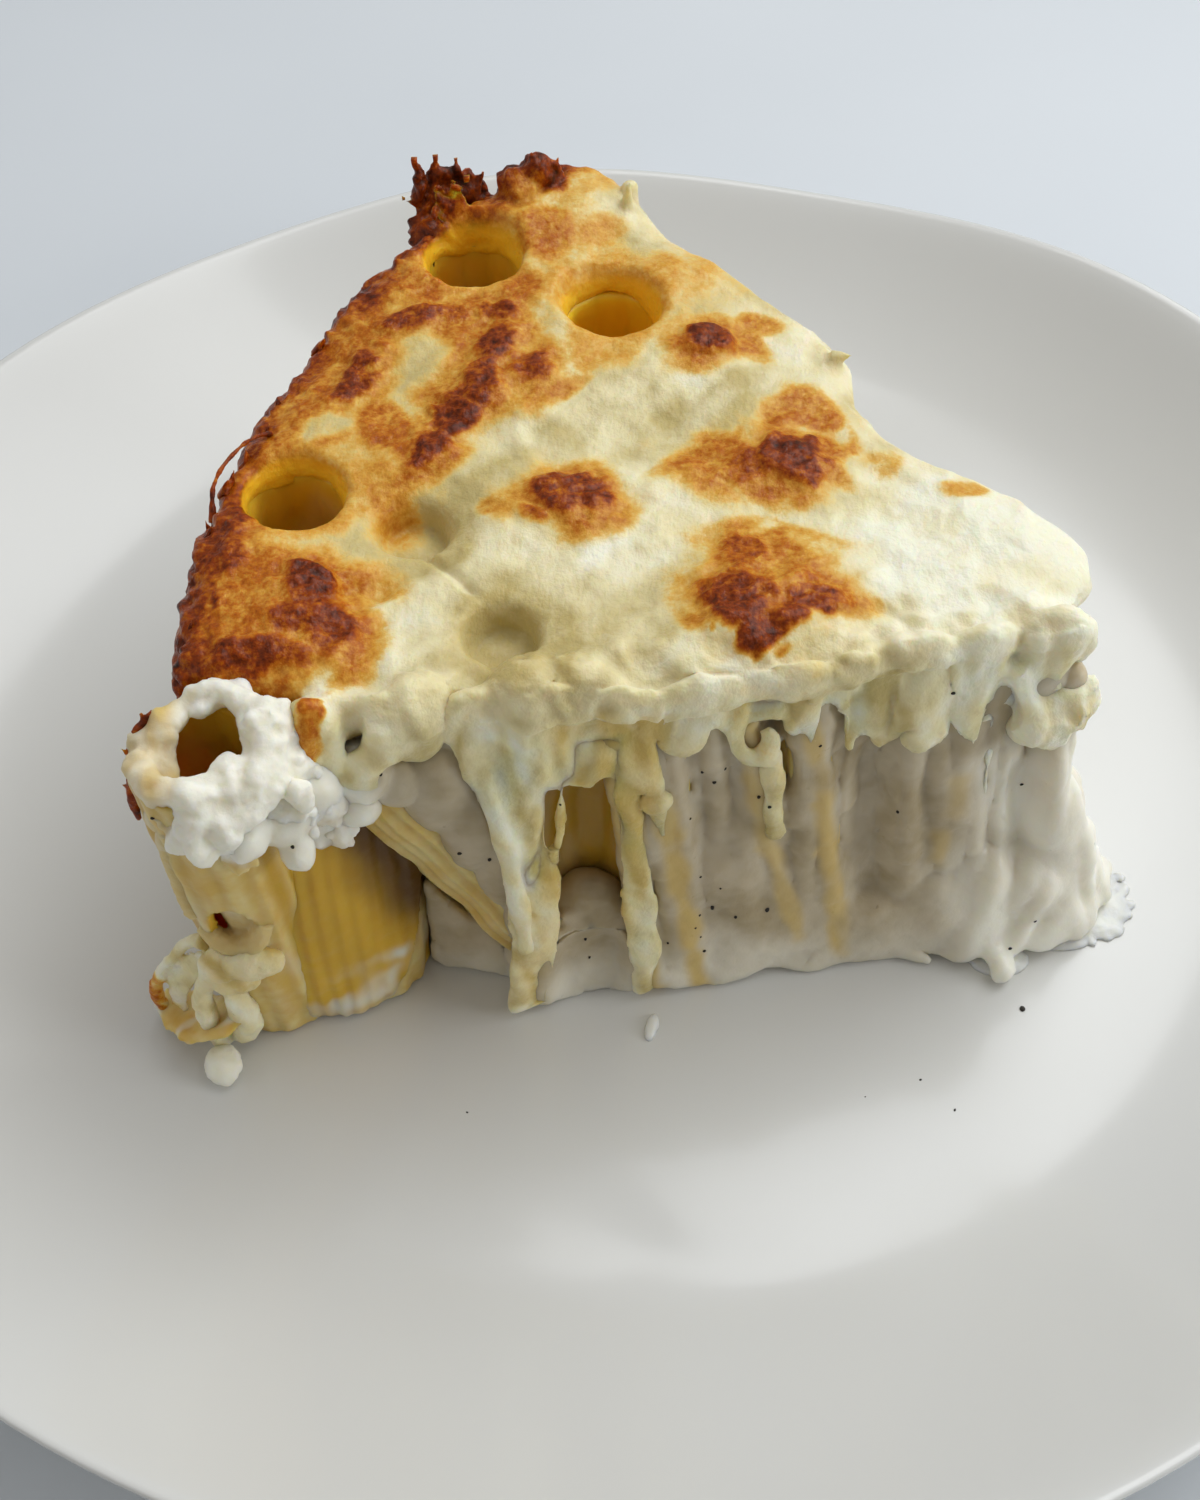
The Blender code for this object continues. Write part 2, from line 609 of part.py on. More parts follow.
def rim_crust(collection):
    """Ragged skirt of baked cheese where the sheet met the pan's wall."""
    outer = PAN_RADIUS + 0.5
    inner = PAN_RADIUS - 0.6
    rows = []
    for step in range(RIM_CRUST_STEPS):
        bearing = 128.5 + 56.0 * step / (RIM_CRUST_STEPS - 1)
        low = 48.5 + 2.2 * math.sin(1.7 * step) + 1.6 * math.sin(0.7 * step + 2.0)
        swell = 0.3 * math.sin(2.1 * step)
        section = ((outer - 0.4, 57.0), (outer + swell, 53.4), (outer - 0.1, low),
                   (inner, low + 0.2), (inner, 57.0))
        rows.append([(*on_rim(bearing, radius), z) for radius, z in section])
    return loft(rows, "rim_crust", collection)


def cheese_extras(collection):
    """Lips over the front cut, drips, the tip's flap and the corner's tufts."""
    lips = (
        ((-33.0, -38.6, 56.4), (5.0, 2.6, 4.4)), ((-25.5, -39.4, 55.4), (5.0, 2.8, 5.6)),
        ((-17.5, -39.4, 54.8), (4.4, 2.6, 5.8)), ((-9.5, -40.2, 56.2), (6.0, 2.6, 5.0)),
        ((-1.5, -40.0, 55.4), (6.0, 2.8, 5.2)), ((7.5, -38.8, 56.6), (6.0, 2.4, 3.8)),
        ((17.0, -36.8, 56.4), (6.0, 2.2, 4.2)), ((24.5, -34.6, 55.4), (4.6, 2.2, 4.8)),
        ((32.0, -32.0, 56.4), (5.6, 2.2, 4.2)), ((40.0, -30.2, 54.6), (5.0, 2.2, 5.8)),
        ((48.5, -28.0, 54.2), (5.4, 2.6, 6.2)), ((51.4, -31.0, 48.6), (4.4, 2.4, 4.0)),
        ((54.6, -31.6, 50.2), (2.4, 2.0, 2.8)),
    )
    shapes = []
    for k, (center, radii) in enumerate(lips):
        shapes.append(blob(center, radii, "lip_%d" % k, collection, 0.0, 2, 9.0))
    drips = (
        (((-18.8, -40.6, 53.0), (-17.2, -42.6, 45.0), (-15.2, -44.4, 36.0), (-14.2, -46.0, 26.0),
          (-13.9, -47.2, 16.0)), (2.4, 1.9, 1.4, 1.0, 0.8)),
        (((-9.5, -42.0, 54.0), (-9.4, -43.4, 42.0), (-9.2, -45.2, 28.0), (-9.0, -46.9, 14.0)),
         (1.2, 0.6, 0.5, 0.6)),
        (((5.0, -40.6, 54.0), (6.4, -41.6, 48.0), (6.8, -42.2, 43.5)), (1.3, 0.9, 1.3)),
        (((44.5, -30.6, 52.0), (46.6, -32.2, 42.0), (48.6, -34.4, 28.0)), (1.6, 1.0, 0.7)),
    )
    for k, (points, radii) in enumerate(drips):
        shapes.append(strand(points, radii, "cheese_drip_%d" % k, collection, sides=6))
    tufts = (
        ((-22.4, 43.6, 66.0), (4.6, 3.4, 4.4)), ((-24.6, 43.0, 70.0), (1.9, 1.7, 3.4)),
        ((-20.0, 44.4, 69.0), (2.4, 2.0, 3.0)), ((-14.6, 49.2, 64.6), (4.4, 3.0, 3.2)),
        ((-11.6, 50.2, 66.4), (2.6, 2.2, 3.0)),
    )
    for k, (center, radii) in enumerate(tufts):
        shapes.append(blob(center, radii, "tuft_%d" % k, collection, 0.0, 1, 40.0 * k))
    flick = ((0.2, 48.6, 58.5), (1.0, 49.8, 61.5), (1.6, 50.2, 64.4))
    shapes.append(strand(flick, (2.4, 1.7, 0.7), "flick", collection))
    return shapes


def mouth_cutter(name, center, top, cutters):
    """Open mouth over a tube: its bore, flared where the cheese rounds into it."""
    bore = TUBE_RADIUS - TUBE_WALL
    room = TUBE_RADIUS + GAP
    profile = [(0.0, top + 14.0), (bore + 3.4, top + 14.0), (bore + 2.2, top + 5.6),
               (bore + 0.4, top + 2.6), (bore - 0.3, top + GAP), (room, top + GAP),
               (room, 45.0), (0.0, 45.0)]
    return as_cutter(turned(profile, (*center, 0.0), (*center, 1.0), name, cutters))


def make_cheese(table, whole, parts, cutters):
    crust = make_material("cheese_crust", (0.84, 0.62, 0.28), 0.35, 0.2)
    shapes = [cheese_sheet(parts), rim_crust(parts)] + cheese_extras(parts)
    for k, center in enumerate(PIT_CENTERS):
        shapes.append(turned(PIT_CUP, (*center, 0.0), (*center, 1.0), "cup_%d" % k, parts, 12))
    body = unite("cheese_top", shapes, parts, crust)
    rooms = [as_cutter(filling_wedge(cutters, GAP))]
    rooms += [as_cutter(lump) for lump in filling_lumps(cutters, GAP)]
    for k, center in enumerate(PIT_CENTERS):
        rooms.append(as_cutter(turned(PIT_BOWL, (*center, 0.0), (*center, 1.0),
                                      "bowl_%d" % k, cutters, 16)))
    for name, spec in table.items():
        _, head, _ = spec
        if name == "rigatoni_front_1":
            rooms.append(whole[name])
        elif head[2] > TUBE_TOP + 1.0:
            rooms.append(mouth_cutter("mouth_" + name, head[:2], head[2], cutters))
        elif "front" in name:
            rooms.append(tube_clearance(name, spec, cutters, beyond=LEAN_ROOM))
    carve(body, rooms)
    return body


# ------------------------------------------------------------ loose scraps

def strip(points, width, thickness, name, collection, material):
    """Flat curved piece of torn pasta along points."""
    path = [Vector(point) for point in points]
    rows = []
    for i, center in enumerate(path):
        along = path[min(i + 1, len(path) - 1)] - path[max(i - 1, 0)]
        across = along.cross(Vector((0.0, 0.0, 1.0))).normalized()
        up = across.cross(along).normalized()
        half = 0.5 * width[i]
        section = ((-half, 0.0), (-half * 0.8, 0.5), (half * 0.8, 0.5), (half, 0.0),
                   (half * 0.8, -0.5), (-half * 0.8, -0.5))
        rows.append([tuple(center + across * a + up * b * thickness) for a, b in section])
    piece = loft(rows, name, collection)
    piece.data.materials.append(material)
    return piece


def make_scraps(parts, whole):
    pasta = bpy.data.materials["pasta"]
    torn = strip(((-50.5, -50.0, 9.6), (-53.5, -49.6, 6.8), (-57.0, -48.0, 4.4), (-60.4, -45.8, 2.8),
                  (-63.6, -43.6, 2.6)), (4.0, 7.0, 8.5, 7.0, 3.5), 1.4, "torn_rigatoni", parts, pasta)
    subtract(torn, whole["rigatoni_front_1"])
    apply_modifiers(torn)
    keep_largest_body(torn)
    crumb = blob((-54.2, -53.6, 2.0), (2.6, 3.2, 1.6), "ricotta_crumb", parts, 0.0, 2, 20.0)
    crumb.data.materials.append(bpy.data.materials["ricotta"])


def shade(parts):
    for obj in parts.objects:
        obj.data.shade_smooth()
        obj.data.set_sharp_from_angle(angle=math.radians(35.0))


def main():
    for obj in list(bpy.data.objects):
        bpy.data.objects.remove(obj)
    parts = make_collection(PARTS)
    cutters = make_collection(CUTTERS)
    make_plate(parts)
    table = tube_table()
    whole, floor = make_rigatoni(table, parts, cutters)
    make_filling(table, whole, floor, parts, cutters)
    make_cheese(table, whole, parts, cutters)
    make_scraps(parts, whole)
    shade(parts)


main()
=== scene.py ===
# Rigatoni pie slice on its plate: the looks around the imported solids
import math
import random

import bpy
import numpy as np
from mathutils import Matrix, Vector


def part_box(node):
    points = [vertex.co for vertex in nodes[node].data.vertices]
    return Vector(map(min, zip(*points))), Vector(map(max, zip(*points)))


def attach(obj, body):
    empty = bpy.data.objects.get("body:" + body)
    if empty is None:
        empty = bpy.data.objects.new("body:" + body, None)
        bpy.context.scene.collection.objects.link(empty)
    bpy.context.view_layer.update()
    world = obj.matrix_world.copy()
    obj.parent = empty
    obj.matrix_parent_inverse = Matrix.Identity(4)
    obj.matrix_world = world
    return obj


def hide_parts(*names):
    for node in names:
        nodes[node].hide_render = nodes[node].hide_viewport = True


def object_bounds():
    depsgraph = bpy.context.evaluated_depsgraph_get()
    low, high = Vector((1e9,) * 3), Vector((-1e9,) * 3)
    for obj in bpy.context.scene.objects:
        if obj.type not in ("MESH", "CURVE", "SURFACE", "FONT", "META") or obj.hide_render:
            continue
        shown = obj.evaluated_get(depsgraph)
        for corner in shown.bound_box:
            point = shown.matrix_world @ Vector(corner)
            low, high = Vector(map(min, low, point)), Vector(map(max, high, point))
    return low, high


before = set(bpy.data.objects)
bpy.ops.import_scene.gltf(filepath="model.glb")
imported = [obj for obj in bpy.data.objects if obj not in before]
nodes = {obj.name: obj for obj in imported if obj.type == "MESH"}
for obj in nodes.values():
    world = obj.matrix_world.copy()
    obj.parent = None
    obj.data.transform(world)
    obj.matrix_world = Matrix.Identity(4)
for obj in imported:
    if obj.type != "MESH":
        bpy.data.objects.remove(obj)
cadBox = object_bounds()
scene = bpy.context.scene
mm = 0.001
foodGap = 0.00035  # the food stands this far above the plate's well
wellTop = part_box("rigatoni_front_1")[0].z - foodGap
weldReach = 0.00001


def at(x, y, z):  # a place in millimetres over the plate's well
    return Vector((x * mm, y * mm, wellTop + z * mm))


# selecting, joining and applying
def pick(*pieces):
    for other in list(bpy.context.selected_objects):
        other.select_set(False)
    for piece in pieces:
        piece.select_set(True)
    bpy.context.view_layer.objects.active = pieces[0]


def applyAll(piece):
    pick(piece)
    for modifier in list(piece.modifiers):
        bpy.ops.object.modifier_apply(modifier=modifier.name)


def weld(piece, outward=False):
    pick(piece)
    bpy.ops.object.mode_set(mode="EDIT")
    bpy.ops.mesh.select_all(action="SELECT")
    bpy.ops.mesh.remove_doubles(threshold=weldReach)
    if outward:
        bpy.ops.mesh.normals_make_consistent(inside=False)
    bpy.ops.object.mode_set(mode="OBJECT")


def weldedCopy(node, name):
    piece = bpy.data.objects.new(name, nodes[node].data.copy())
    scene.collection.objects.link(piece)
    piece.data.materials.clear()
    weld(piece)
    return piece


def joined(pieces, name):
    pick(*pieces)
    bpy.ops.object.join()
    piece = bpy.context.view_layer.objects.active
    bpy.ops.object.transform_apply(location=True, rotation=True, scale=True)
    piece.name = name
    return piece


def lump(place, radii, turn=0, tip=0, detail=3):
    bpy.ops.mesh.primitive_ico_sphere_add(subdivisions=detail, radius=mm, location=at(*place),
                                          rotation=(math.radians(tip), 0, math.radians(turn)),
                                          scale=radii)
    return bpy.context.view_layer.objects.active


strapMesh = {"round": 3, "steps": 8}


def strap(points, radii):
    # a string or strap of goo along points, its radius at each
    curve = bpy.data.curves.new("strap", "CURVE")
    curve.dimensions = "3D"
    curve.bevel_depth = mm
    curve.bevel_resolution = strapMesh["round"]
    curve.use_fill_caps = True
    curve.resolution_u = strapMesh["steps"]
    spline = curve.splines.new("BEZIER")
    spline.bezier_points.add(len(points) - 1)
    for knot, place, radius in zip(spline.bezier_points, points, radii):
        knot.co = at(*place)
        knot.handle_left_type = knot.handle_right_type = "AUTO"
        knot.radius = radius
    piece = bpy.data.objects.new("strap", curve)
    scene.collection.objects.link(piece)
    pick(piece)
    bpy.ops.object.convert(target="MESH")
    piece = bpy.context.view_layer.objects.active
    weld(piece, outward=True)
    return piece


def eased(values, fine):
    # a smooth run through the given rows, fine steps between each two
    values = np.asarray(values, dtype=float)
    padded = np.concatenate([2 * values[:1] - values[1:2], values, 2 * values[-1:] - values[-2:-1]])
    run = []
    for k in range(1, len(padded) - 2):
        a, b, c, d = padded[k - 1:k + 3]
        for step in range(fine):
            t = step / fine
            run.append(0.5 * (2 * b + (c - a) * t + (2 * a - 5 * b + 4 * c - d) * t * t
                              + (3 * b - a - 3 * c + d) * t ** 3))
    run.append(values[-1])
    return np.array(run)


def drape(rows, thick, fine=6):
    # a thin hanging sheet through rows of points, all of one length
    grid = eased(np.asarray(rows, dtype=float), fine)
    grid = eased(grid.transpose(1, 0, 2), fine).transpose(1, 0, 2)
    down, across = grid.shape[:2]
    bpy.ops.mesh.primitive_grid_add(x_subdivisions=across - 1, y_subdivisions=down - 1, size=1)
    piece = bpy.context.view_layer.objects.active
    piece.data.vertices.foreach_set("co", (grid.reshape(-1, 3) * mm + [0, 0, wellTop]).ravel())
    piece.data.update()
    thicken = piece.modifiers.new("thick", "SOLIDIFY")
    thicken.thickness = thick * mm
    thicken.offset = 0
    applyAll(piece)
    return piece


def spike(place, base, tall, lean=(0, 0), flat=1, turn=0):
    # a crusty point: base radius, height and how it leans
    bpy.ops.mesh.primitive_cone_add(vertices=10, radius1=base * mm, radius2=0.12 * base * mm,
                                    depth=tall * mm, location=at(*place),
                                    rotation=(math.radians(lean[0]), math.radians(lean[1]),
                                              math.radians(turn)), scale=(1, flat, 1))
    return bpy.context.view_layer.objects.active


def softened(piece, weights, rounds, factor=0.6):
    weigh(piece, "softened", weights)
    smooth = piece.modifiers.new("melt", "SMOOTH")
    smooth.factor = factor
    smooth.iterations = rounds
    smooth.vertex_group = "softened"
    applyAll(piece)


def grained(piece, voxel, smoothing=2):
    # one even skin over everything joined into the piece
    remesh = piece.modifiers.new("grain", "REMESH")
    remesh.mode = "VOXEL"
    remesh.voxel_size = voxel * mm
    remesh.use_smooth_shade = True
    smooth = piece.modifiers.new("soften", "SMOOTH")
    smooth.factor = 0.5
    smooth.iterations = smoothing
    applyAll(piece)


def uneven(piece, name, size, strength, group=None, depth=1):
    # bumps of this size and strength in millimetres, applied with the other modifiers
    texture = bpy.data.textures.new(name, "CLOUDS")
    texture.noise_scale = size * mm
    texture.noise_depth = depth
    displace = piece.modifiers.new(name, "DISPLACE")
    displace.texture = texture
    displace.texture_coords = "LOCAL"
    displace.strength = strength * mm
    if group:
        displace.vertex_group = group


def pointsOf(piece):
    flat = np.empty(len(piece.data.vertices) * 3)
    piece.data.vertices.foreach_get("co", flat)
    return flat.reshape(-1, 3)


def normalsOf(piece):
    flat = np.empty(len(piece.data.vertices) * 3)
    piece.data.vertices.foreach_get("normal", flat)
    return flat.reshape(-1, 3)


def setPoints(piece, points):
    piece.data.vertices.foreach_set("co", points.ravel())
    piece.data.update()


def inMm(points):  # metres in the frame to millimetres over the well
    return (points - np.array([0, 0, wellTop])) / mm


def placesOf(piece):
    # the piece's points as they are, and in millimetres over the well
    points = pointsOf(piece)
    return points, inMm(points)


def paint(piece, **layers):  # each layer is one number or one for each point
    for name, values in layers.items():
        layer = piece.data.attributes.new(name, "FLOAT", "POINT")
        layer.data.foreach_set("value", np.full(len(piece.data.vertices), values, dtype=np.float32))


weightSteps = 20


def weigh(piece, name, values):
    group = piece.vertex_groups.new(name=name)
    steps = np.round(np.clip(values, 0, 1) * weightSteps).astype(int)
    for step in range(1, weightSteps + 1):
        chosen = np.nonzero(steps == step)[0]
        if len(chosen):
            group.add(chosen.tolist(), step / weightSteps, "REPLACE")


def soft(value, low, high):  # smooth step for arrays
    t = np.clip((value - low) / (high - low), 0, 1)
    return t * t * (3 - 2 * t)


def limited(value):
    return np.clip(value, 0, 1)


def faded(value, low, high):
    return 1 - soft(value, low, high)


def wobble(p, size, seed):
    # smooth noise from -1 to 1 for arrays of points in millimetres
    dice = np.random.default_rng(seed)
    total = np.zeros(len(p))
    bent = p / size
    for layer in range(3):
        bent = bent + 0.6 * np.sin(bent[:, [1, 2, 0]] * 1.3 + dice.uniform(0, 6.28, 3))
    for wave in range(7):
        way = dice.normal(size=3)
        way *= dice.uniform(0.7, 1.5) / np.linalg.norm(way)
        total += np.sin(bent @ way * 2.2 + dice.uniform(0, 6.28))
    return total / 3.2


def ridged(p, size, seed):
    return 1 - 2 * np.abs(np.clip(wobble(p, size, seed), -1, 1))


def patch(p, place, radii, turn=0, rag=0.35, size=3, seed=1, edge=0.35):
    # soft uneven patch seen from above, 1 in its middle and 0 outside
    turn = math.radians(turn)
    x = p[:, 0] - place[0]
    y = p[:, 1] - place[1]
    u = (x * math.cos(turn) + y * math.sin(turn)) / radii[0]
    v = (-x * math.sin(turn) + y * math.cos(turn)) / radii[1]
    far = np.sqrt(u * u + v * v) + rag * wobble(p, size, seed)
    return faded(far, 1 - edge, 1 + edge)


# materials
def newMaterial(name):
    material = bpy.data.materials.new(name)
    material.use_nodes = True
    tree = material.node_tree
    return material, tree, tree.nodes["Principled BSDF"]


def node(tree, kind, **values):
    made = tree.nodes.new(kind)
    for key, value in values.items():
        if key in made.inputs:
            made.inputs[key].default_value = value
        else:
            setattr(made, key, value)
    return made


def noiseNode(tree, scale, detail=3, roughness=0.55, stretch=None):
    where = node(tree, "ShaderNodeTexCoord")
    texture = node(tree, "ShaderNodeTexNoise", Scale=scale, Detail=detail, Roughness=roughness)
    source = where.outputs["Object"]
    if stretch:
        mapping = node(tree, "ShaderNodeMapping")
        mapping.inputs["Scale"].default_value = stretch
        tree.links.new(source, mapping.inputs["Vector"])
        source = mapping.outputs["Vector"]
    tree.links.new(source, texture.inputs["Vector"])
    return texture.outputs["Fac"]


def ramp(tree, source, stops):
    made = node(tree, "ShaderNodeValToRGB")
    bar = made.color_ramp
    bar.elements[0].position, bar.elements[0].color = stops[0][0], (*stops[0][1], 1)
    bar.elements[1].position, bar.elements[1].color = stops[-1][0], (*stops[-1][1], 1)
    for place, color in stops[1:-1]:
        bar.elements.new(place).color = (*color, 1)
    tree.links.new(source, made.inputs["Fac"])
    return made.outputs["Color"]


def mixColor(tree, share, first, second):
    made = node(tree, "ShaderNodeMix", data_type="RGBA")
    sockets = {"Factor": made.inputs[0], "A": made.inputs[6], "B": made.inputs[7]}
    for key, value in (("Factor", share), ("A", first), ("B", second)):
        if isinstance(value, bpy.types.NodeSocket):
            tree.links.new(value, sockets[key])
        elif key == "Factor":
            sockets[key].default_value = value
        else:
            sockets[key].default_value = (*value, 1)
    return made.outputs[2]


def mathNode(tree, operation, *values, clamp=False):
    made = node(tree, "ShaderNodeMath", operation=operation, use_clamp=clamp)
    for socket, value in zip(made.inputs, values):
        if isinstance(value, bpy.types.NodeSocket):
            tree.links.new(value, socket)
        else:
            socket.default_value = value
    return made.outputs[0]


def attribute(tree, name):
    return node(tree, "ShaderNodeAttribute", attribute_name=name).outputs["Fac"]


def bump(tree, shader, height, strength, distance):
    made = node(tree, "ShaderNodeBump", Strength=strength, Distance=distance)
    tree.links.new(height, made.inputs["Height"])
    tree.links.new(made.outputs["Normal"], shader.inputs["Normal"])


def setSockets(shader, **values):
    names = {"rough": "Roughness", "subsurface": "Subsurface Weight", "radius": "Subsurface Radius",
             "reach": "Subsurface Scale", "coat": "Coat Weight", "coatRough": "Coat Roughness",
             "ior": "IOR", "specular": "Specular IOR Level"}
    for key, value in values.items():
        shader.inputs[names[key]].default_value = value


def roughen(tree, shader, grain, spread, middle):
    # roughness that varies with a fine grain around its middle value
    rough = mathNode(tree, "MULTIPLY_ADD", grain, spread, middle - 0.5 * spread)
    tree.links.new(rough, shader.inputs["Roughness"])


glazeLook = {"color": (0.71, 0.715, 0.70), "warm": (0.68, 0.68, 0.655), "rough": 0.2}


def makeGlaze():
    material, tree, shader = newMaterial("offWhiteGlaze")
    cloud = noiseNode(tree, 9, 2)
    color = ramp(tree, cloud, [(0.35, glazeLook["warm"]), (0.65, glazeLook["color"])])
    tree.links.new(color, shader.inputs["Base Color"])
    roughen(tree, shader, noiseNode(tree, 60, 3), 0.10, glazeLook["rough"])
    setSockets(shader, coat=0.25, coatRough=0.08, ior=1.5)
    bump(tree, shader, cloud, 0.12, 0.0006)
    return material


pastaLook = {"pale": (0.78, 0.63, 0.28), "deep": (0.70, 0.47, 0.12), "inside": (0.58, 0.35, 0.035),
             "mouth": (0.98, 0.58, 0.03), "shade": (0.085, 0.032, 0.003), "cream": (0.80, 0.76, 0.64),
             "rough": 0.36}


def makePasta():
    material, tree, shader = newMaterial("cookedPasta")
    cloud = noiseNode(tree, 170, 3)
    outer = ramp(tree, cloud, [(0.35, pastaLook["deep"]), (0.62, pastaLook["pale"])])
    inside = ramp(tree, attribute(tree, "inner"), [(0.55, pastaLook["inside"]), (1, pastaLook["mouth"])])
    shell = mathNode(tree, "MULTIPLY", attribute(tree, "inner"), 2, clamp=True)
    color = mixColor(tree, shell, outer, inside)
    color = mixColor(tree, attribute(tree, "cream"), color, pastaLook["cream"])
    color = mixColor(tree, attribute(tree, "shade"), color, pastaLook["shade"])
    tree.links.new(color, shader.inputs["Base Color"])
    fine = noiseNode(tree, 900, 3)
    roughen(tree, shader, fine, 0.2, pastaLook["rough"])
    setSockets(shader, subsurface=0.6, radius=(1, 0.6, 0.16), reach=0.003, coat=0.12,
               coatRough=0.12, ior=1.4, specular=0.35)
    bump(tree, shader, fine, 0.25, 0.0003)
    return material


# sauce colours: white and warm are the sauce's own warm white, darkened as painted shade over the cut
# face; thick is the bright white of thick sauce
sauceLook = {"white": (0.56, 0.48, 0.34), "warm": (0.42, 0.34, 0.205), "pasta": (0.66, 0.48, 0.16),
             "thick": (0.92, 0.89, 0.77), "rough": 0.32, "grain": 0.0003, "coat": 0.3}
curdLook = {**sauceLook, "white": (0.88, 0.85, 0.75), "warm": (0.78, 0.69, 0.54), "rough": 0.46,
            "grain": 0.0006, "coat": 0.08}


def makeSauce(name, look):
    material, tree, shader = newMaterial(name)
    cloud = noiseNode(tree, 120, 3)
    color = ramp(tree, cloud, [(0.36, look["warm"]), (0.60, look["white"])])
    color = mixColor(tree, attribute(tree, "thick"), color, look["thick"])
    color = mixColor(tree, attribute(tree, "veil"), color, look["pasta"])
    tree.links.new(color, shader.inputs["Base Color"])
    fine = noiseNode(tree, 700, 4, 0.6)
    roughen(tree, shader, fine, 0.24, look["rough"])
    setSockets(shader, subsurface=0.7, radius=(1, 0.84, 0.55), reach=0.0028, coat=look["coat"],
               coatRough=0.12, ior=1.38, specular=0.35)
    bump(tree, shader, fine, 0.35, look["grain"])
    return material


# toast runs from raw melted cheese at 0 to charred crust at 1; the milk value runs from clear fat to white
# curd, and is lowered in the dips as painted shade
cheeseLook = {
    "toast": [(0, (0.85, 0.73, 0.38)), (0.14, (0.81, 0.58, 0.18)), (0.30, (0.71, 0.36, 0.05)),
              (0.48, (0.50, 0.145, 0.006)), (0.66, (0.28, 0.046, 0.002)),
              (0.82, (0.14, 0.020, 0.002)), (1, (0.04, 0.008, 0.002))],
    "milk": [(0, (0.58, 0.47, 0.20)), (0.5, (0.85, 0.77, 0.48)), (1, (0.95, 0.92, 0.74))],
    "rough": 0.32,
}


def makeCheese():
    material, tree, shader = newMaterial("toastedCheese")
    coarse = noiseNode(tree, 260, 4, 0.6)
    fine = noiseNode(tree, 1100, 4, 0.65)
    mottle = mathNode(tree, "SUBTRACT", coarse, 0.5)
    speck = mathNode(tree, "SUBTRACT", fine, 0.5)
    toast = attribute(tree, "toast")
    band = mathNode(tree, "MULTIPLY_ADD", toast, 1.3, 0.08, clamp=True)  # patchier where it has browned
    spread = mathNode(tree, "MULTIPLY", mathNode(tree, "MULTIPLY", mottle, band), 0.7)
    speckled = mathNode(tree, "MULTIPLY", mathNode(tree, "MULTIPLY", speck, band), 0.95)
    value = mathNode(tree, "ADD", mathNode(tree, "ADD", toast, spread), speckled, clamp=True)
    baked = ramp(tree, value, cheeseLook["toast"])
    milky = mathNode(tree, "ADD", attribute(tree, "milk"), mathNode(tree, "MULTIPLY", mottle, 0.8),
                     clamp=True)
    raw = ramp(tree, milky, cheeseLook["milk"])
    early = mathNode(tree, "MULTIPLY", value, 5, clamp=True)
    color = mixColor(tree, early, raw, baked)
    color = mixColor(tree, attribute(tree, "amber"), color, pastaLook["mouth"])
    tree.links.new(color, shader.inputs["Base Color"])
    roughen(tree, shader, fine, 0.3, cheeseLook["rough"])
    setSockets(shader, subsurface=0.55, radius=(1, 0.7, 0.3), reach=0.0026, coat=0.03,
               coatRough=0.1, ior=1.4, specular=0.22)
    strands = noiseNode(tree, 420, 5, 0.6, (1, 0.45, 1))
    height = mathNode(tree, "ADD", strands, mathNode(tree, "MULTIPLY", coarse, 1.4))
    bump(tree, shader, height, 0.55, 0.0008)
    return material


pepperLook = {"deep": (0.0175, 0.014, 0.011), "color": (0.035, 0.028, 0.022), "rough": 0.7}


def makePepperGrit():
    material, tree, shader = newMaterial("blackPepper")
    grit = ramp(tree, noiseNode(tree, 1500, 2), [(0.3, pepperLook["deep"]), (0.7, pepperLook["color"])])
    tree.links.new(grit, shader.inputs["Base Color"])
    setSockets(shader, rough=pepperLook["rough"])
    return material


glaze = makeGlaze()
pasta = makePasta()
sauce = makeSauce("ricottaSauce", sauceLook)
curd = makeSauce("ricottaCurd", curdLook)
cheese = makeCheese()
pepper = makePepperGrit()
print("materials made")


# plate
plateShape = {"levels": 2, "flatWithin": 30, "squareWithin": 60}


def makePlate():
    plate = weldedCopy("plate", "plateGlazed")
    pick(plate)
    bpy.ops.object.mode_set(mode="EDIT")
    bpy.ops.mesh.select_all(action="SELECT")
    bpy.ops.mesh.tris_convert_to_quads(face_threshold=math.radians(plateShape["flatWithin"]),
                                       shape_threshold=math.radians(plateShape["squareWithin"]))
    bpy.ops.object.mode_set(mode="OBJECT")
    rounding = plate.modifiers.new("rounding", "SUBSURF")
    rounding.levels = rounding.render_levels = plateShape["levels"]
    applyAll(plate)
    plate.data.shade_smooth()
    plate.data.materials.append(glaze)
    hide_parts("plate")
    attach(plate, "root")


makePlate()
print("plate glazed")


# rigatoni
tubeShape = {"outer": 8.15, "wall": 1.6, "ridges": 26, "ridge": 0.12, "fineVoxel": 0.42,
             "hiddenVoxel": 0.7, "sink": 0.3, "waver": 0.3, "softWall": (4, 0.4)}
ridgeHeights = {"rigatoni_front_1": 0.06, "rigatoni_front_2": 0.07, "rigatoni_front_3": 0.20}
frontTubes = ["rigatoni_front_%d" % k for k in range(1, 8)]
rimTubes = ["rigatoni_rim_%d" % k for k in range(1, 7)]
backTubes = ["rigatoni_back_%d" % k for k in range(1, 5)]


def axisOf(p):
    # the tube's own line, from the middles of two bands across it
    low, high = p[:, 2].min(), p[:, 2].max()
    middles = []
    for share in (0.36, 0.66):
        z = low + share * (high - low)
        band = p[np.abs(p[:, 2] - z) < 1.2]
        middles.append([*(0.5 * (band[:, :2].min(0) + band[:, :2].max(0))), z])
    start, end = (np.array(point) for point in middles)
    return start, (end - start) / np.linalg.norm(end - start)


# painted shade: the split tube's inside darkens deep under the leaning tube
def splitShade(p):  # how deep inside the split tube a place lies
    x, _, z = p.T
    deep = x + 38.2 - 0.32 * (44 - z) + 0.5 * wobble(p, 3, 95)
    return 0.94 * soft(deep, -4.6, 3.4) * soft(z, 9, 19)


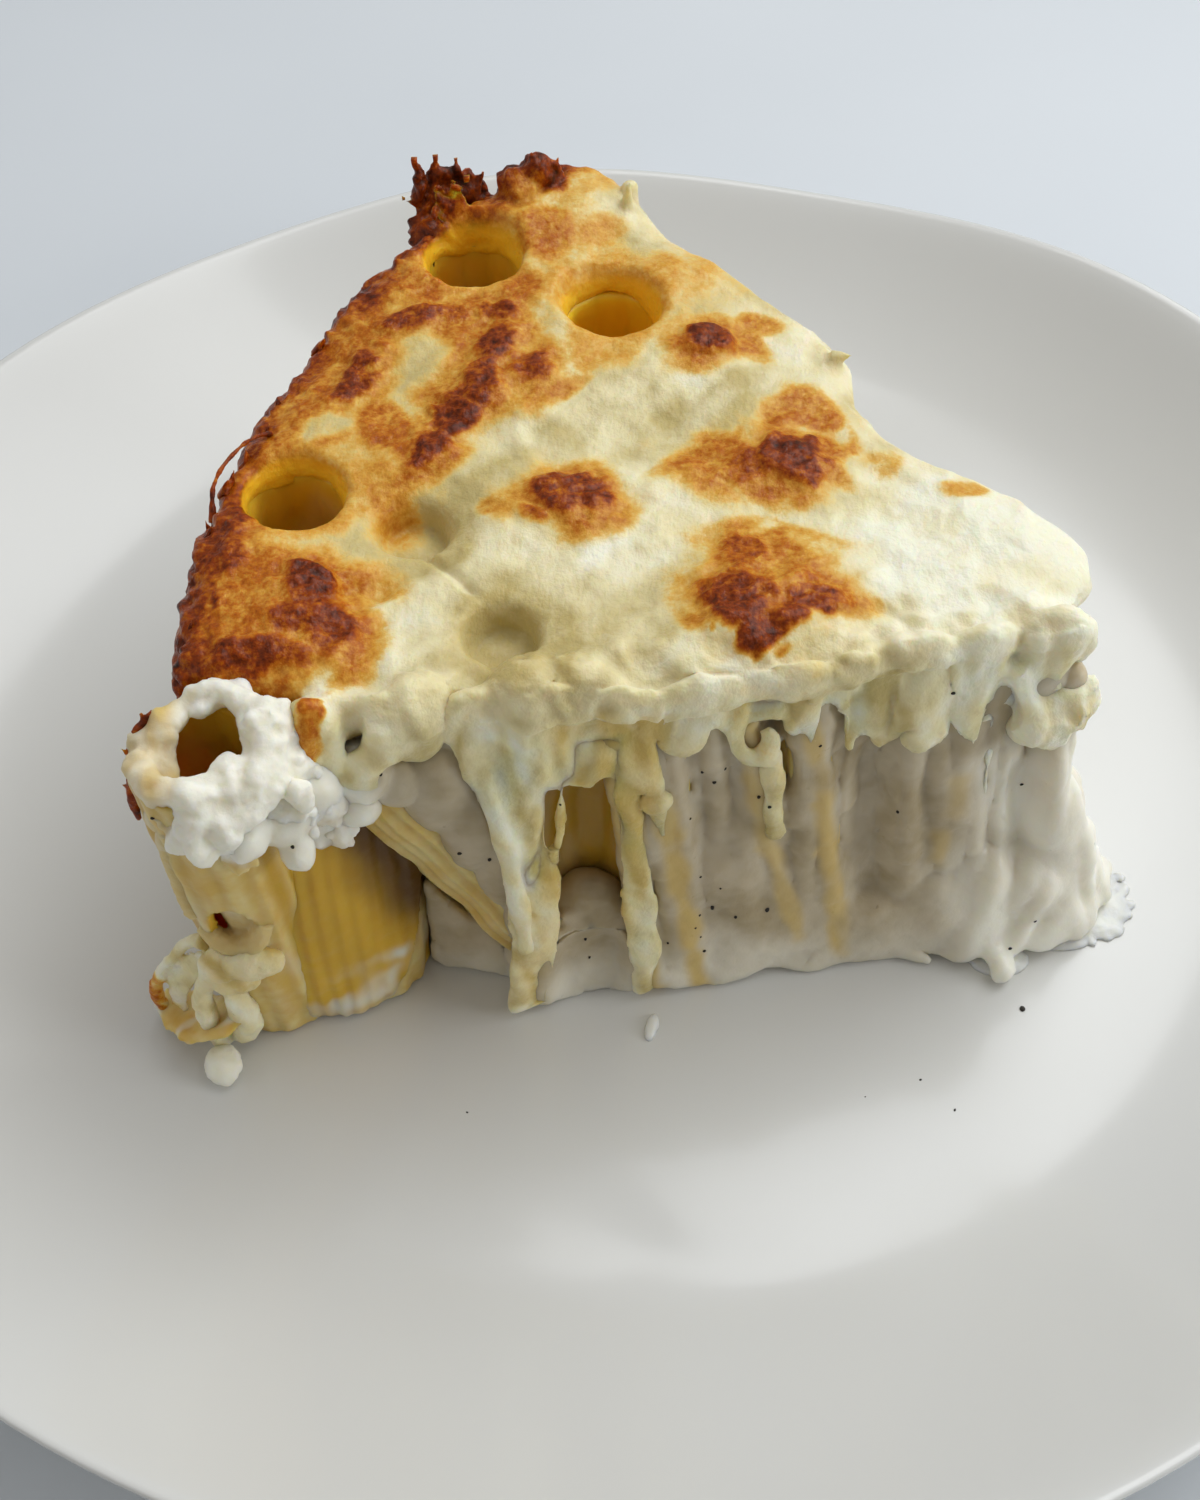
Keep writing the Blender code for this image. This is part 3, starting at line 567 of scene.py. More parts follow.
def makeTube(node):
    shown = node in frontTubes
    tube = weldedCopy(node, node.replace("rigatoni_", "rigatoni").replace("_", ""))
    grained(tube, tubeShape["fineVoxel"] if shown else tubeShape["hiddenVoxel"], 6 if shown else 3)
    points, p = placesOf(tube)
    start, way = axisOf(p)
    cut = node in frontTubes[3:]
    across = p - start
    along = across @ way
    across -= along[:, None] * way
    radius = np.linalg.norm(across, axis=1)
    outward = across / np.maximum(radius, 0.01)[:, None]
    side = np.cross(way, (0, 1, 0))
    side /= np.linalg.norm(side)
    angle = np.arctan2(across @ np.cross(way, side), across @ side)
    middle = tubeShape["outer"] - 0.5 * tubeShape["wall"]
    if cut:
        facing = (normalsOf(tube) * outward).sum(1)
        inner = (0.55 if node == "rigatoni_front_4" else 0.12) * faded(facing, -0.5, 0.2)
        points[:, 1] += tubeShape["sink"] * mm  # cut ends lie just under the sauce
    else:
        skin = soft(radius, middle, middle + 0.6)
        height = ridgeHeights.get(node, tubeShape["ridge"])
        points += outward * (skin * height * np.cos(tubeShape["ridges"] * angle) * mm)[:, None]
        inner = (1 if node == "rigatoni_back_1" else 0.74) * (1 - skin)
    points += outward * (tubeShape["waver"] * wobble(p, 9, len(node)) * mm)[:, None]
    setPoints(tube, points)
    cream = soft(wobble(p * [1, 1, 0.45], 4.6, 5 + len(node)), -0.2, 1.1) * (1 - inner)
    cream *= {"rigatoni_front_3": 0, "rigatoni_front_1": 0.35}.get(node, 0.45 if shown else 0.8)
    paint(tube, inner=inner, cream=cream, shade=splitShade(p) * (node == "rigatoni_front_2"))
    uneven(tube, "softWall", *tubeShape["softWall"])
    applyAll(tube)
    tube.data.materials.append(pasta)
    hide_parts(node)
    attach(tube, "root")
    return tube


tubes = {node: makeTube(node) for node in frontTubes + rimTubes + backTubes}
print("tubes made", len(tubes))


# ricotta sauce
# the knife's cut: where it ends by the tip, its run along x, how far its foot stands out, how it leans in
knifeCut = {"x": 50, "y": -25, "run": 0.1647, "foot": 9, "lean": 0.093, "slant": 1.0135}


def frontFace(x, z, proud=0):
    # y of the knife's face at x and z, and proud of it
    foot = (knifeCut["foot"] - knifeCut["lean"] * z) * knifeCut["slant"]
    return knifeCut["y"] - knifeCut["run"] * (knifeCut["x"] - x) - foot - proud


def faceRun(ends, radius, steps=4, bend=0.6):
    # knots down the face from (x, z) to (x, z)
    (xTop, zTop), (xFoot, zFoot) = ends
    knots = []
    for step in range(steps):
        share = step / (steps - 1)
        x = xTop + (xFoot - xTop) * share + bend * math.sin(4 * share + xTop)
        z = zTop + (zFoot - zTop) * share
        knots.append((x, frontFace(x, z, -0.5 * radius), z))
    return knots


sauceShape = {"voxel": 0.52, "smooth": 3, "melt": 36, "grow": 0.42, "above": 0.3, "swell": (6, 0.9),
              "grain": (1.6, 0.32)}
# cut pasta walls showing in the face: top, foot, radius, how plainly they show
wallStrips = (
    (((-2.2, 50), (2.4, 0.2)), 1.55, 1), (((3.4, 39), (9.2, 0.4)), 1.35, 0.9),
    (((-12.8, 24), (-12.6, 0.4)), 1.7, 0.55), (((12.8, 50), (16.8, 28)), 1.3, 0.75),
    (((16.8, 28), (22.4, 8)), 1.1, 0.7), (((20.8, 48), (23.6, 35)), 1.2, 0.75),
    (((23.4, 34), (28.6, 3.6)), 1.25, 0.85), (((36.6, 49), (37.4, 45)), 1.4, 0.6),
    (((40.6, 35), (40.8, 29.5)), 1.5, 0.5), (((39.6, 24.5), (40.2, 19)), 1.4, 0.5),
)
# folds of sauce down the face: top, foot, radius
sauceFolds = (
    (((4.4, 52), (8.6, 1)), 1.5), (((19.2, 52), (23.4, 1)), 1.5), (((21.1, 52), (28.2, 1)), 1.5),
    (((35.9, 52), (43, 1)), 1.6), (((37.8, 52), (44.2, 1)), 1.6), (((52, 50), (58, 1)), 1.7),
    (((0.8, 52), (4.4, 24)), 1.3), (((4.4, 26), (6.4, 1.5)), 1.7), (((8.2, 51), (13.6, 12)), 1.5),
    (((11.6, 30), (16, 3)), 2.6), (((18.8, 48), (20.8, 30)), 1.2), (((26.6, 50), (27.4, 30)), 1),
    (((33.6, 50), (35.8, 20)), 1.5), (((35.8, 22), (37.8, 4)), 2.2), (((39.6, 50), (41.8, 26)), 2),
    (((41.8, 49), (43.8, 20)), 1.4), (((43.2, 50), (45.2, 12)), 0.9), (((46.6, 44), (48.8, 14)), 1.6),
)
# soft masses: middle and radii
sauceMasses = (
    # the mound in the open tube and what leaks out of it
    ((-5.8, -38.2, 6), (5.8, 4.8, 13)), ((-5.8, -39, 2), (7, 5, 5.4)), ((-1.6, -38.6, 4), (3.4, 2.6, 7)),
    # between the walls
    ((6.2, -39.2, 6), (3, 2.4, 9)), ((12.6, -36.4, 18), (5.4, 2.8, 15)), ((13.6, -38, 4), (5.4, 3, 7)),
    ((19.6, -36.8, 4.4), (4.4, 2.8, 6.6)), ((25.2, -36, 3.6), (4.4, 2.8, 5.8)),
    ((31.6, -36, 4.6), (4.6, 3.2, 7.6)), ((36, -36, 4.4), (4.4, 3.2, 6.8)),
    ((40.4, -35, 6.4), (5, 3.8, 9.4)), ((-5.8, -38.4, 9.5), (6.2, 4.6, 8.5)),
    ((-5.8, -37.8, 13), (5.4, 3.6, 8.6)), ((-20, -36.6, 7), (6.4, 2.4, 6.6)),
    ((48.6, -27.6, 47), (3, 2.4, 8)), ((46, -33.6, 10), (5, 3.4, 10)),
    # over the leaning tube
    ((-22.8, -40.2, 43.6), (4.4, 2.2, 7.6)), ((-19.6, -40.4, 36), (3.8, 2, 7.6)),
    ((-16.6, -40.8, 28), (3, 1.8, 8)), ((-14.6, -41.4, 16), (2.2, 1.7, 8)),
    ((-27.4, -41, 46.6), (3, 1.8, 3.4)), ((-14.6, -41.6, 6), (2.4, 1.8, 5)),
    # behind the face, so no open tube is left there
    ((0.6, -35.6, 42), (2.4, 2.4, 12)), ((9.6, -33.4, 44), (6.6, 2.6, 9)),
    ((13.6, -34.2, 28), (6.8, 2.8, 12)), ((26.4, -30.8, 42), (6.4, 2.6, 11)),
    ((31, -31.4, 24), (6.6, 2.8, 12)), ((43.6, -28.2, 42), (6.4, 2.6, 11)),
    ((47.6, -29.2, 24), (6.6, 2.8, 12)), ((2.4, -37.4, 30), (2.6, 2.2, 9)),
    # the flow down past the tip
    ((46.6, -35.4, 5), (4.2, 3.6, 5.6)), ((52, -30.4, 30), (3.6, 3.6, 9)), ((54.6, -30, 22), (4.4, 4, 9)),
    ((57.6, -29.6, 14.5), (4.6, 4.4, 8.5)), ((59.6, -28.8, 7.6), (4.6, 4.4, 6.2)),
    ((62.4, -27.6, 2.8), (4.6, 4.2, 3.2)), ((53.4, -33.4, 10.5), (4.4, 3.4, 7)),
    ((57.6, -33.2, 5.2), (4, 3.4, 4.6)), ((52.6, -36, 3.4), (4.4, 2.8, 3.4)),
    ((59.6, -34.2, 2), (3.8, 2.6, 2.2)), ((54, -22, 26), (3, 4, 10)), ((58, -22, 12), (4, 5, 9)),
    ((60.6, -21.2, 3.6), (4.2, 4.8, 4.2)),
)
# sauce that runs: knots and radii
sauceRuns = (
    (((47, -36.4, 6.4), (48.8, -38.6, 3.6), (50.4, -40.4, 2), (51.8, -41.8, 1.4)), (2.2, 1.8, 1.5, 1.4)),
    (((50.4, -30.6, 37), (54.6, -32, 24), (58.6, -33.2, 11), (63.2, -33.8, 1.6)), (1, 1.2, 1.2, 1.4)),
    (((53, -28.6, 36), (58.2, -29, 22), (62.6, -29.4, 10), (67.2, -29.6, 1.4)), (1, 1.1, 1.3, 1.2)),
    (((36, -38.4, 2), (38.4, -39.8, 1.2), (41.4, -40.2, 0.9)), (1.6, 1.2, 0.9)),
    (((28, -37.6, 3), (30.6, -38.6, 1.4), (33.4, -38.6, 0.9)), (1.6, 1.2, 0.8)),
    (((2.6, -42.4, 3.4), (5.8, -42.6, 2.6), (8.8, -41.8, 1.4)), (1.4, 1.6, 1.2)),
)
# where the face is hollowed: top, foot, half width, depth
sauceHollows = (
    (((27.4, 50), (31, 14)), 3, 2.4), (((15.8, 52), (16.4, 47)), 1.3, 1.8),
    (((17.8, 43), (18.4, 37)), 1.3, 2), (((9.6, 40), (11, 28)), 2.6, 1),
    (((49.2, 45), (51.4, 20)), 2, 2.2), (((44.2, 38), (46.6, 18)), 1.4, 1),
    (((-21.6, 12), (-21, 0.2)), 6, 3.2),
)


def alongFace(p, ends):
    # distance to a line down the face, with how far along it lies
    (xTop, zTop), (xFoot, zFoot) = ends
    share = np.clip((zTop - p[:, 2]) / (zTop - zFoot), 0, 1)
    past = np.maximum(p[:, 2] - zTop, 0) + np.maximum(zFoot - p[:, 2], 0)
    return np.hypot(p[:, 0] - (xTop + (xFoot - xTop) * share), past)


def nearFront(p, depth):
    x, y, z = p.T
    return faded(y - frontFace(x, z), 0.5 * depth, depth)


thinning = {"hiddenShare": 0.93, "factor": 10, "mostTriangles": 196000}


def thinned(body, hidden):
    # few faces where nothing shows, then evenly down to the most triangles set for one piece
    weigh(body, "hidden", hidden.astype(float))
    thin = body.modifiers.new("thin", "DECIMATE")
    thin.ratio = 1 - thinning["hiddenShare"] * float(hidden.mean())
    thin.vertex_group = "hidden"
    thin.vertex_group_factor = thinning["factor"]
    applyAll(body)
    triangles = sum(len(face.vertices) - 2 for face in body.data.polygons)
    body.modifiers.new("even", "DECIMATE").ratio = min(1, thinning["mostTriangles"] / triangles)


def buriedIn(p, sectors=120, levels=10):
    # what lies well inside the outline and under the crust is never seen
    x, y, z = p.T
    away = p[:, :2] - np.array([0, 3])
    bearing = (np.arctan2(away[:, 1], away[:, 0]) + math.pi) / (2 * math.pi) * sectors
    bearing = bearing.astype(int) % sectors
    level = np.clip((z / 6).astype(int), 0, levels - 1)
    reach = np.linalg.norm(away, axis=1)
    edge = np.zeros((sectors, levels))
    np.maximum.at(edge, (bearing, level), reach)
    corner = (x < -10) & (y < -24)
    face = y < frontFace(x, z) + 9.5
    buried = (reach < edge[bearing, level] - 3.2) & (z < 53.4)
    buried |= (z > 51) & ~face
    return buried & ~corner & ~(face & (z < 51) & (x < 4))


def makeSauceBody():
    body = weldedCopy("filling", "ricottaFilling")
    shapes = [body]
    for ends, radius, _ in wallStrips:
        shapes.append(strap(faceRun(ends, radius, bend=0.3), [radius, 0.9 * radius, radius, radius]))
    for ends, radius in sauceFolds:
        shapes.append(strap(faceRun(ends, radius), [0.6 * radius, radius, 0.85 * radius, 1.15 * radius]))
    for k, (place, radii) in enumerate(sauceMasses):
        shapes.append(lump(place, radii, 9 * math.sin(2 * k)))
    shapes += [strap(knots, radii) for knots, radii in sauceRuns]
    body = joined(shapes, "ricottaFilling")
    points = pointsOf(body)
    points[:, 2] = np.maximum(points[:, 2], wellTop + sauceShape["above"] * mm)
    setPoints(body, points)
    grained(body, sauceShape["voxel"], sauceShape["smooth"])
    points, p = placesOf(body)
    x, y, z = p.T
    # left of the apron nothing stands far out of the cut
    ahead = np.maximum(frontFace(x, z) - 0.8 - y, 0)
    points[:, 1] += 0.7 * ahead * mm * soft(x, -31, -27) * faded(x, 36, 46)
    mound = faded(np.abs(x + 5.7), 3.8, 5.6)
    ahead = np.maximum(frontFace(x, z) + 1.2 - y, 0)
    points[:, 1] += 0.72 * ahead * mm * mound * faded(z, 22, 28)
    front = nearFront(p, 6)
    for ends, wide, deep in sauceHollows:
        points[:, 1] += deep * mm * front * faded(alongFace(p, ends), 0.3 * wide, 1.5 * wide)
    setPoints(body, points)
    melt = front * (0.7 - 0.4 * soft(wobble(p, 7, 71), 0, 0.6)) * 0.4
    low = faded(z, 9, 18)
    melt = np.maximum.reduce([0.35 * melt, 0.8 * front * low, soft(x, 44, 52)])
    softened(body, melt, sauceShape["melt"])
    points, p = placesOf(body)
    flow = 0.55 * wobble(p * [1, 1, 0.3], 3.4, 72) * soft(p[:, 0], 40, 48)
    points += normalsOf(body) * (flow * mm)[:, None]
    setPoints(body, points)
    buried = buriedIn(inMm(pointsOf(body)))
    thinned(body, buried)
    uneven(body, "sauceSwell", *sauceShape["swell"])
    uneven(body, "sauceGrain", *sauceShape["grain"], depth=2)
    applyAll(body)
    points = pointsOf(body)
    points += normalsOf(body) * sauceShape["grow"] * mm
    setPoints(body, points)
    p = inMm(points)
    x, y, z = p.T
    veil = np.zeros(len(p))
    for k, (ends, radius, show) in enumerate(wallStrips):
        near = alongFace(p, ends) + 0.45 * wobble(p, 3, 80 + k)
        veil = np.maximum(veil, show * faded(near, 0.3 * radius, 1.6 * radius))
    veil *= nearFront(p, 4) * (1 - 0.5 * soft(wobble(p, 4.2, 95), 0, 1))
    # whiter thick sauce at the foot and past the tip; the whiteness to the right is partly painted light,
    # where light from the right falls; less of it high up under the lip
    thick = np.maximum(soft(x, 37, 49), 0.6 * faded(z, 2, 12))
    thick *= 1 - 0.8 * soft(z, 34, 44)
    thick = np.maximum(thick, faded(x, -32, -28) * soft(z, 38, 42) * (y < -38))
    paint(body, veil=limited(veil), thick=limited(thick + 0.2 * wobble(p, 7, 97)))
    body.data.materials.append(sauce)
    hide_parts("filling")
    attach(body, "root")
    print("sauce", len(body.data.polygons), "buried share", round(float(buried.mean()), 2))
    return body


sauceBody = makeSauceBody()


# melted cheese
panSide = {"tip": (50, -25), "radius": 102}
cheeseShape = {"voxel": 0.46, "smooth": 2, "melt": 18, "proud": 0.7, "pressed": 0.5}
# browned places: middle, radii, turn, how dark, blister height
brownSpots = (
    ((11.1, 19.2), (4, 2.5), 12, 0.76, 1.1), ((-7.3, -9.1), (5.8, 3.8), 2, 0.7, 0.8),
    ((20.8, -2.4), (4.4, 4.4), 30, 0.76, 0.8), ((16, -4.2), (3.6, 3.4), 0, 0.62, 0.4),
    ((11.8, -27), (4.4, 5), 20, 0.72, 0.9), ((14.6, -31.4), (4.6, 3.4), 30, 0.68, 0.7),
    ((20.6, -26.8), (3.6, 2.6), -10, 0.66, 0.6), ((13.4, -18.4), (3.4, 3.2), 0, 0.58, 0.5),
    ((-16.8, 18.6), (2.8, 4.4), -10, 0.72, 0.8), ((-18.6, 11.2), (2.8, 5), -20, 0.7, 0.8),
    ((-21.8, 5.4), (2.7, 4.6), -26, 0.74, 1), ((-24.8, -0.6), (2.4, 3.4), -10, 0.78, 0.8),
    ((-12.2, 13.2), (3.2, 3.6), 20, 0.62, 0.5), ((-28.2, 23.4), (3.4, 2), 14, 0.72, 0.7),
    ((-22.6, 25), (4.2, 1.6), 4, 0.62, 0.5), ((-16.6, 25), (2.6, 2.2), 0, 0.7, 0.5),
    ((-34.6, 13), (2.6, 5.4), -24, 0.72, 0.8), ((-37, -23.4), (3.4, 3.2), 0, 0.78, 1.3),
    ((-34, -29.4), (3.2, 4.6), 10, 0.7, 0.9), ((-42.4, -34.2), (6.4, 2.6), -6, 0.7, 0.8),
    ((-48.4, -17.2), (3.4, 5.4), 10, 0.68, 0.6), ((-50, -27), (2.6, 5), 0, 0.66, 0.4),
    ((-46.8, -11.6), (2.6, 3), 0, 0.66, 0.4), ((-38.6, -28.4), (4, 3), 30, 0.62, 0.6),
)
# golden places without a blister: middle, radii, turn, how deep
goldSpots = (
    ((10.6, -2.6), (6, 7), 0, 0.44), ((22.4, 6.2), (5, 4.6), 0, 0.42), ((16, -24.6), (8.4, 10), 0, 0.42),
    ((-42, -25), (11, 13), 0, 0.44), ((-13.6, 30), (4.4, 5.4), 0, 0.44), ((-10.6, 40), (5, 6), 0, 0.4),
    ((-15.6, 48.6), (5, 4), 0, 0.46), ((-27, 29.6), (5.4, 5), 0, 0.42),
    ((-34.4, 20), (4.6, 9), -20, 0.46), ((-40, 10), (3.6, 8), -20, 0.46),
    ((-30.4, -6), (3.6, 8), 14, 0.34), ((-16.6, -10.2), (2, 1.6), 0, 0.36),
    ((-3, 40.6), (5, 3.6), 0, 0.3), ((-20, 16), (8, 13), -14, 0.4), ((30.6, -2), (3, 2.6), 0, 0.26),
    ((-30.6, 4.2), (4.2, 4.6), 0, 0.48), ((40.6, -8), (2.6, 1.6), 0, 0.26),
    ((-37.4, 2.6), (4, 3), 0, 0.34), ((16.6, 22.6), (4, 2.4), 20, 0.34),
)
paleSpots = (((-26, 16), (3.6, 3.6)), ((-37, 4), (3.4, 2.2)))
mouths = ((-40.8, -7.1), (-20.7, 37.3), (-1.5, 27))
dips = ((-26, -12.5), (-15, -29.5))
# sheets of cheese down the open tube's walls: how thick, then rows of height, left and right edge
wallSheets = (
    # the curtain that runs off the lip into a strap down the left wall
    (2, ((57, -20, -8.6), (51, -19.8, -9.4), (45, -18.6, -10.2), (38.5, -17, -10.4), (31, -16, -10.2),
         (24, -15.5, -10), (16, -15.4, -10.5), (9, -15.6, -11), (1.6, -16, -11.6))),
    # the right wall's band
    (0.9, ((50, -3, -0.4), (44, -2.6, 0.1), (37, -2.2, 0.7), (30, -1.7, 1.3), (24, -1.3, 1.9),
           (17, -0.6, 2.3), (9, 0, 2.7), (1.6, 0.6, 3.3))),
)
# scallops of the veil over the arch: x and how low each hangs
archScallops = ((-13, 45), (-10.6, 43.6), (-8, 44.8), (-5.4, 43), (-2.6, 44.6), (0.6, 41.4))
# the thin veil along the lip: from x, to x, how low, how deep its folds
lipVeils = ((-1, 27, 49, 0.5), (26, 48.5, 44.5, 0.8))
# what closes gaps under the lip, at its left end, by the torn hole and behind the tab
lipFillers = (((-18, -38.8, 50), (3, 2.2, 4.4)), ((-31.2, -38.4, 55.6), (3, 1.6, 3.4)),
              ((50.8, -30.2, 43.8), (5, 2.6, 5.2)))
# the swollen lip over the arch, scalloped below
lipLumps = (
    ((-12.6, -37, 57.4), (5.2, 4.4, 4.4)), ((-6.6, -36.8, 56.6), (5.4, 3.8, 4.6)),
    ((-4.4, -37.4, 52.4), (3.2, 2.4, 3.8)), ((0, -36.4, 55), (4.6, 3.2, 4.2)),
    ((5.6, -35.4, 56.6), (4.4, 2.6, 3.2)), ((11.4, -34.4, 57), (4.4, 2.4, 3)),
    ((17, -33.4, 57), (3.8, 2.6, 3.2)), ((22.6, -32.6, 57.4), (3.6, 2.6, 2.6)),
    ((25.6, -31.8, 58.4), (2.4, 2.4, 2)), ((17.6, -37.6, 30.4), (1.3, 1.1, 2)),
    ((2.4, -39.6, 39.6), (1.5, 1.2, 1.2)), ((-24.6, -38, 57), (4.4, 3.6, 4)),
)
# strings, drips, the curl, the tab and the bead: knots and radii
cheeseStrings = (
    (((-8.4, -38.6, 52), (-8.3, -39.6, 47.5), (-8.5, -40.1, 43), (-8.8, -40.6, 38), (-9.2, -41, 33),
      (-9.8, -41.9, 22.5)), (1.6, 1.3, 0.95, 0.42, 0.34, 0.5)),
    (((0.4, -37.6, 53), (1.4, -38.4, 46), (2.4, -38.9, 40), (3.8, -39.3, 31)), (1.5, 0.8, 0.9, 0.5)),
    (((11.8, -35.4, 53), (12, -36.8, 48), (13.2, -37, 45.2), (15, -36.8, 45), (16, -36.4, 47),
      (15.2, -36.2, 49)), (1.4, 1.1, 1.2, 1.1, 0.9, 0.7)),
    (((16.4, -36, 45), (16.8, -37, 38), (17.5, -37.5, 31.5)), (1.1, 0.8, 0.9)),
    (((19.4, -34.6, 54), (20.4, -35, 50), (21.4, -35.4, 45)), (1.9, 1.4, 0.8)),
    (((24.4, -33.2, 55), (25.2, -34, 49), (26, -34.6, 43)), (1.8, 1.1, 0.6)),
    (((34.6, -31.4, 53), (34.8, -32.2, 48), (35, -32.6, 44)), (1.4, 1, 0.6)),
    (((42.2, -30.4, 54), (42.8, -31.2, 47), (43.6, -31.9, 38), (44.6, -33, 24)), (1.3, 0.7, 0.5, 0.45)),
    (((46.4, -29, 58), (47.4, -29.8, 53), (48, -30.2, 48)), (2, 1.5, 1)),
    (((45.6, -30.6, 44.6), (48.6, -30.6, 43.2), (51.6, -30, 43), (54.4, -29.2, 43.6)),
     (2.6, 3.9, 4.3, 3.4)), (((52, -29.8, 44.2), (54.6, -29.2, 43.4)), (4.6, 3.8)),
    (((44.4, -31, 53), (46.4, -31.4, 48.6), (48.8, -30.8, 45)), (1.5, 1.6, 2.4)),
    (((49.4, -28.8, 58.4), (49.9, -29.7, 53.8), (49.7, -30, 49.6)), (2.2, 2, 1.5)),
    (((54.2, -29.2, 48), (55, -29.2, 44.6), (54.2, -29.6, 40.8)), (1.6, 2.2, 1.5)),
    (((50.6, -30.8, 41), (52, -31.2, 38.8)), (1.6, 0.9)),
)
# stretched between the corner and the lip, with a hole torn in it
tornCheese = (
    (((-35.4, -39.6, 60), (-34.2, -41.8, 55.6), (-34.6, -43.6, 50.4)), (2.4, 1.7, 1.8)),
    (((-28.6, -38, 59.6), (-28, -41.4, 55.4), (-31.4, -43.4, 51.2)), (2.6, 1.9, 2)),
    (((-35, -42.8, 51.6), (-31.6, -43.4, 50.2), (-28.4, -42.8, 49)), (1.7, 1.7, 1.3)),
    (((-35.4, -41.8, 59.8), (-35.8, -44, 55.8), (-37.6, -45.8, 49.4)), (0.9, 1.1, 0.4)),
)
# shallow dips, where the cheese sagged into the tubes under it
dipFloors = (((-26, -12.5, 51.4), (7, 7, 4.6)), ((-15.6, -29, 51.4), (9.6, 9, 3.6)))
# crusty peaks at the back corner, and points on them: place, base, height, lean
crustPeaks = (
    ((-27.4, 46.4, 59.4), (3.2, 3.6, 3)), ((-26, 50.4, 61), (3.4, 3, 4)),
    ((-21.4, 52, 60.6), (3.6, 2.4, 3.4)), ((-13.4, 52.6, 61), (4.4, 2.2, 3.4)),
    ((-9.4, 51.4, 62.6), (2.2, 1.8, 3.6)), ((-28, 49.6, 64.4), (1.4, 1.5, 1.8)),
    ((-24.8, 51.4, 65), (1.6, 1.3, 1.6)), ((-21.8, 52.6, 64), (1.4, 1.2, 1.2)),
)
crustPoints = (
    ((-28.2, 50.2, 66.8), 1, 4.4, (4, -12)), ((-25.8, 51.4, 66.8), 1, 3.4, (0, 10)),
    ((-22.8, 52.4, 65.6), 1, 3, (0, -12)), ((-19.6, 52.8, 64), 1.2, 3, (-8, 24)),
    ((-9, 51.2, 66.4), 1.3, 4.4, (0, 16)), ((-12, 52.4, 65), 1.2, 3, (0, -14)),
    ((-15.6, 52.6, 63.6), 1.2, 2.6, (0, -30)), ((-29.4, 48.4, 63), 1, 3, (0, -50)),
    ((1, 46.8, 64), 1.5, 6, (0, 4)), ((28.2, 16.4, 60.6), 1.4, 3, (10, 70)),
    ((-15.4, -38.6, 60.4), 1.2, 2.6, (20, -40)),
)
hangingShares = (0, 0.35, 0.7, 1)


def faceSheet(rows, thick):
    # a sheet on the knife's face, a little proud of it and rippled
    sheet = []
    for z, left, right in rows:
        row = []
        for step, proud in enumerate((0.7, 1.5, 1.4, 0.5)):
            x = left + (right - left) * step / 3
            row.append((x, frontFace(x, z, proud + 0.12 * math.sin(0.45 * z + 1.7 * step)), z))
        sheet.append(row)
    return drape(sheet, thick)


def archVeil(top=57, thick=1.1):
    sheet = []
    for share in hangingShares:
        row = []
        for x, low in archScallops:
            z = top - share * (top - low)
            row.append((x, frontFace(x, z, 0.5 + 0.5 * share), z))
        sheet.append(row)
    return drape(sheet, thick)


def lipVeil(first, last, low, bulge, top=58, steps=11):
    rows = []
    for share in hangingShares:
        row = []
        for step in range(steps + 1):
            x = first + (last - first) * step / steps
            z = top - share * (top - low - 2.6 * math.sin(2.3 * step + first))
            fold = bulge * math.sin(1.9 * step + 0.8 * share)
            row.append((x + 0.5 * math.sin(3 * step), frontFace(x, z, 0.5 + fold - 0.8 * (1 - share)), z))
        rows.append(row)
    return drape(rows, 1.2, 4)


def mouthCollar(node, reach=7.6, steps=12):
    # a soft ring where the cheese meets an open tube
    tubePoints = inMm(pointsOf(tubes[node]))
    start, way = axisOf(tubePoints)
    high = tubePoints[:, 2].max() - 0.9
    middle = start + way * (high - start[2]) / way[2]
    ring = []
    for step in range(steps + 1):
        turn = 2 * math.pi * step / steps
        ring.append((middle[0] + reach * math.cos(turn), middle[1] + reach * math.sin(turn),
                     high + 0.5 * math.sin(3 * turn)))
    return strap(ring, [1.5 + 0.25 * math.sin(2 * step) for step in range(steps)] + [1.5])


def cheeseShapes():
    shapes = [faceSheet(rows, thick) for thick, rows in wallSheets]
    shapes += [lump(place, radii) for place, radii in lipFillers]
    shapes += [lump(place, radii, 10 * place[0]) for place, radii in lipLumps]
    shapes.append(archVeil())
    shapes += [lipVeil(*veil) for veil in lipVeils]
    shapes += [strap(knots, radii) for knots, radii in cheeseStrings + tornCheese]
    shapes += [lump(place, radii) for place, radii in dipFloors]
    shapes += [mouthCollar(node) for node in ("rigatoni_rim_2", "rigatoni_rim_5", "rigatoni_back_1")]
    shapes += [lump(place, radii, 20, detail=2) for place, radii in crustPeaks]
    shapes += [spike(place, base, tall, lean) for place, base, tall, lean in crustPoints]
    return shapes


